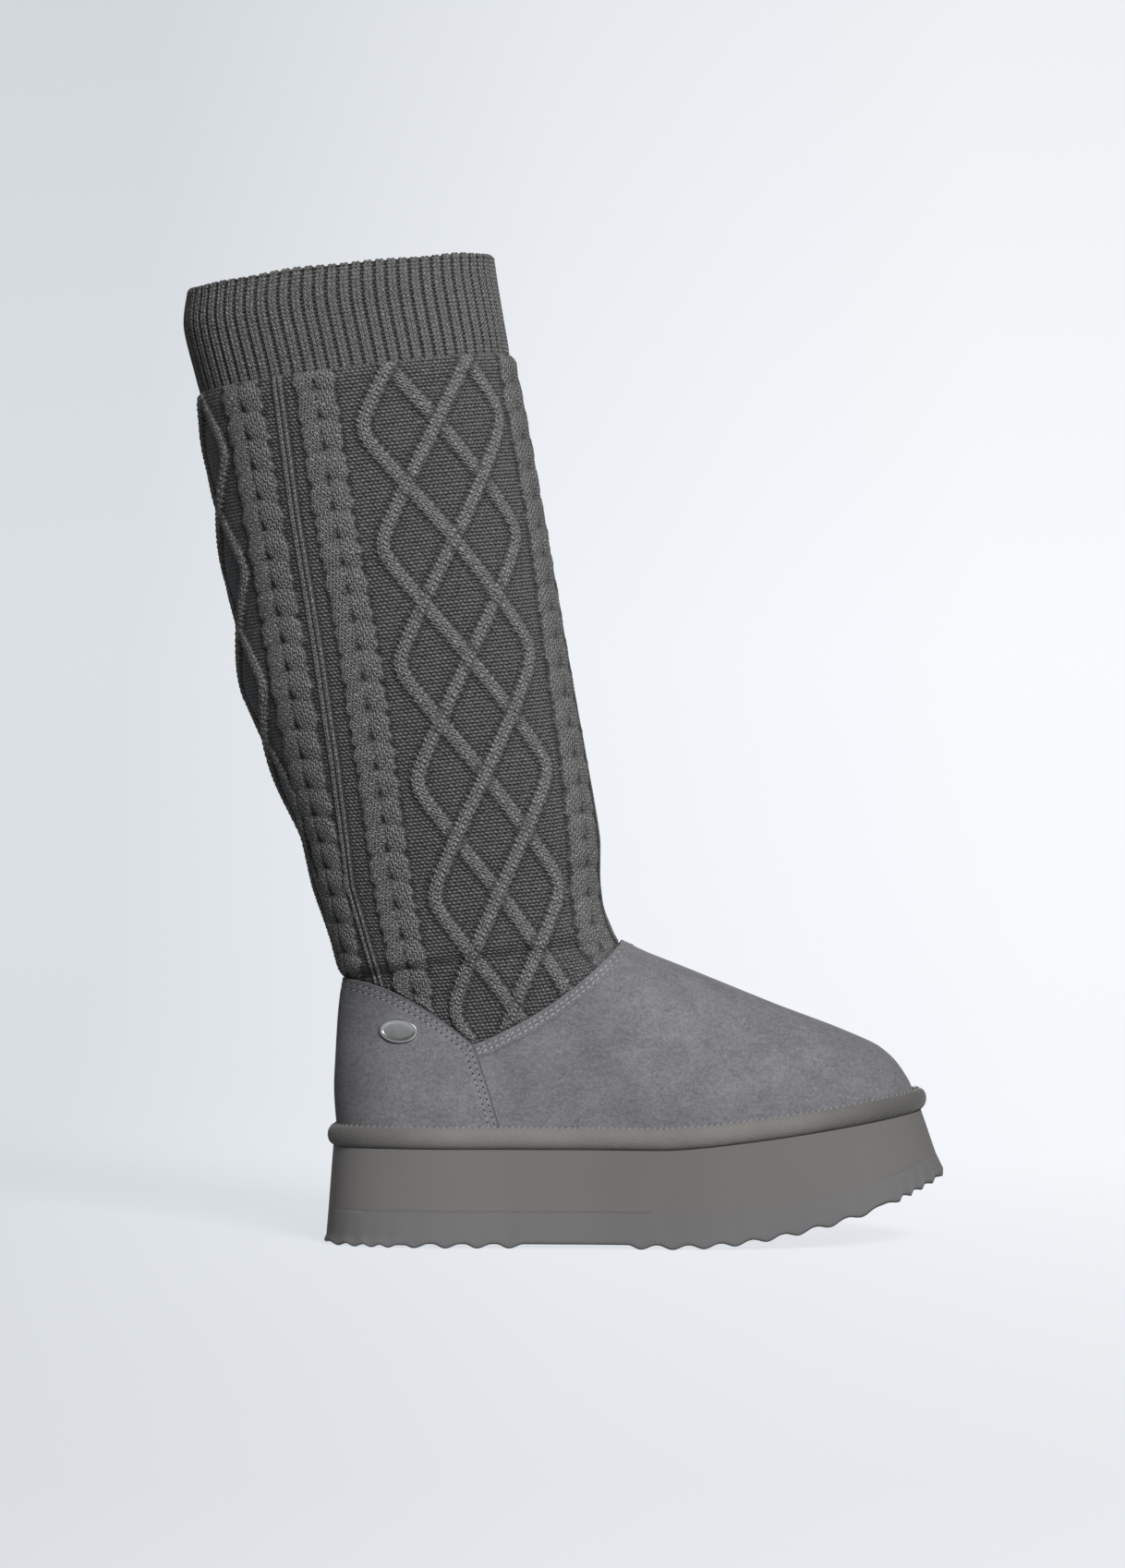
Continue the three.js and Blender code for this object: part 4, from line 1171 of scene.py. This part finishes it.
rounding.width, rounding.segments, rounding.limit_method = badge_rounding, 4, "ANGLE"
bpy.ops.object.modifier_apply(modifier="rounding")
flat = np.array([v.co for v in badge.data.vertices])
cosine, sine = math.cos(badge_tilt), math.sin(badge_tilt)
seen = badge_centre + flat[:, :2] @ np.array([[cosine, -sine], [sine, cosine]])
ring, angle = on_last(seen[:, 0], seen[:, 1], 1, counter_face)
laid = form_skin(foot_form, ring, angle, counter_face - badge_sunk + flat[:, 2])
badge.data.vertices.foreach_set("co", laid.astype(np.float32).ravel())
badge.data.update()


def cast_metal():
    """Grey metal, finely brushed along its length and a little worn."""
    finish = Finish("cast_metal")
    where = finish.node("ShaderNodeTexCoord", output="Object")
    brushed = finish.node("ShaderNodeMapping", {}, {"Vector": where, "Scale": (0.06, 1, 1.6)})
    lines = finish.noise(0.12 * MM, brushed, 3, 0.7)
    worn = finish.noise(3 * MM, where, 4, 0.6)
    colour = finish.between(worn, (0.42, 0.42, 0.41), (0.6, 0.6, 0.59))
    return finish.done(Base_Color=colour, Roughness=0.22 + worn * 0.16 + lines * 0.1, Metallic=1.0,
                       Normal=finish.bump(lines, 0.03 * MM, 0.4))


bpy.ops.object.select_all(action="DESELECT")
badge.select_set(True)
bpy.context.view_layer.objects.active = badge
bpy.ops.object.shade_smooth_by_angle(angle=math.radians(35))
fit(badge, cast_metal(), "badge_metal", "badge")

# Studio. A pale seamless floor that sweeps up behind the boot. One large soft light stands high in
# front on the right, with weak ones at the side and behind, and a long lens looks on level. The
# sweep casts no light or shadow of its own, and is seen through from its back.
bpy.ops.object.select_all(action="DESELECT")
bpy.ops.mesh.primitive_plane_add(size=1)
floor = bpy.context.object
floor.name = "studio_sweep"
floor.scale = (9, 3.2, 1)
floor.location = (0, -0.6, 0)
bpy.ops.object.transform_apply(location=True, rotation=False, scale=True)
bpy.ops.object.mode_set(mode="EDIT")
bpy.ops.mesh.select_mode(type="EDGE")
bpy.ops.mesh.select_all(action="DESELECT")
bpy.ops.object.mode_set(mode="OBJECT")
for side in floor.data.edges:
    side.select = all(floor.data.vertices[i].co.y > 0.9 for i in side.vertices)
bpy.ops.object.mode_set(mode="EDIT")
bpy.ops.mesh.spin(steps=16, angle=-math.pi / 2, center=(0, 1.0, 0.9), axis=(1, 0, 0))
bpy.ops.mesh.extrude_region_move(TRANSFORM_OT_translate={"value": (0, 0, 3)})
bpy.ops.object.mode_set(mode="OBJECT")
bpy.ops.object.shade_smooth()


def paper_sweep():
    """White paper with an even glow, so that shadows on it stay light; darker to the left."""
    finish = Finish("paper_sweep")
    x, depth, height = finish.place()
    beside = (x - 65 * MM) * (0.76 + depth * 0.02)
    share = finish.fade(beside, -0.25, 0.25, 0.0, 1.0)
    glow = finish.node("ShaderNodeValToRGB", {"stops": [
        (0.0, (0.765, 0.808, 0.848)), (0.5, (0.95, 0.99, 1.04)), (1.0, (1.045, 1.065, 1.105)),
    ]}, {0: share})
    back = finish.fade(depth, -0.9, 0.6, 0.65, 0.8)
    top = finish.fade(height, 0.3, 0.9, 1.0, 0.88)
    facing = 1 - finish.node("ShaderNodeNewGeometry", output="Backfacing")
    return finish.done(Base_Color=(0.16, 0.16, 0.16, 1), Roughness=0.95, Specular_IOR_Level=0.0,
                       Alpha=facing, Emission_Color=finish.shade(glow, back * top), Emission_Strength=1.0)


floor.data.materials.append(paper_sweep())
floor.visible_diffuse = False
floor.visible_shadow = False

boot_middle = (0.05, 0, 0.18)


def soft_light(name, place, size, power):
    """A round soft light that looks at the middle of the boot."""
    lamp = bpy.data.lights.new(name, "AREA")
    lamp.shape, lamp.size, lamp.energy = "DISK", size, power
    stand = bpy.data.objects.new(name, lamp)
    stand.location = place
    bpy.context.scene.collection.objects.link(stand)
    bpy.context.view_layer.update()
    way = stand.location.copy()
    way.x, way.y, way.z = [there - here for there, here in zip(boot_middle, way)]
    stand.rotation_mode = "QUATERNION"
    stand.rotation_quaternion = way.to_track_quat("-Z", "Y")


soft_light("key_light", (1.4, -3.67, 2.43), 1.7, 203)
soft_light("side_light", (2.4, -0.3, 1.2), 1.0, 1.5)
soft_light("back_light", (0.3, 3.4, 0.45), 1.4, 42)
room = bpy.data.worlds.new("studio_room")
room.use_nodes = True
room_light = room.node_tree.nodes["Background"].inputs
room_light["Color"].default_value = (0.96, 0.98, 1.0, 1)
room_light["Strength"].default_value = 0.125
bpy.context.scene.world = room
bpy.context.scene.view_settings.view_transform = "Standard"

camera_distance = 2.6
view_height = 0.699         # what the frame takes in at the boot, in metres
aim_along, aim_above = 0.0654, 0.2039
lens = bpy.data.cameras.new("camera")
lens.sensor_width = 36
lens.lens = lens.sensor_width * camera_distance / view_height
camera = bpy.data.objects.new("camera", lens)
camera.location = (aim_along, -camera_distance, aim_above)
camera.rotation_euler = (math.pi / 2, 0, 0)
bpy.context.scene.collection.objects.link(camera)
bpy.context.scene.camera = camera
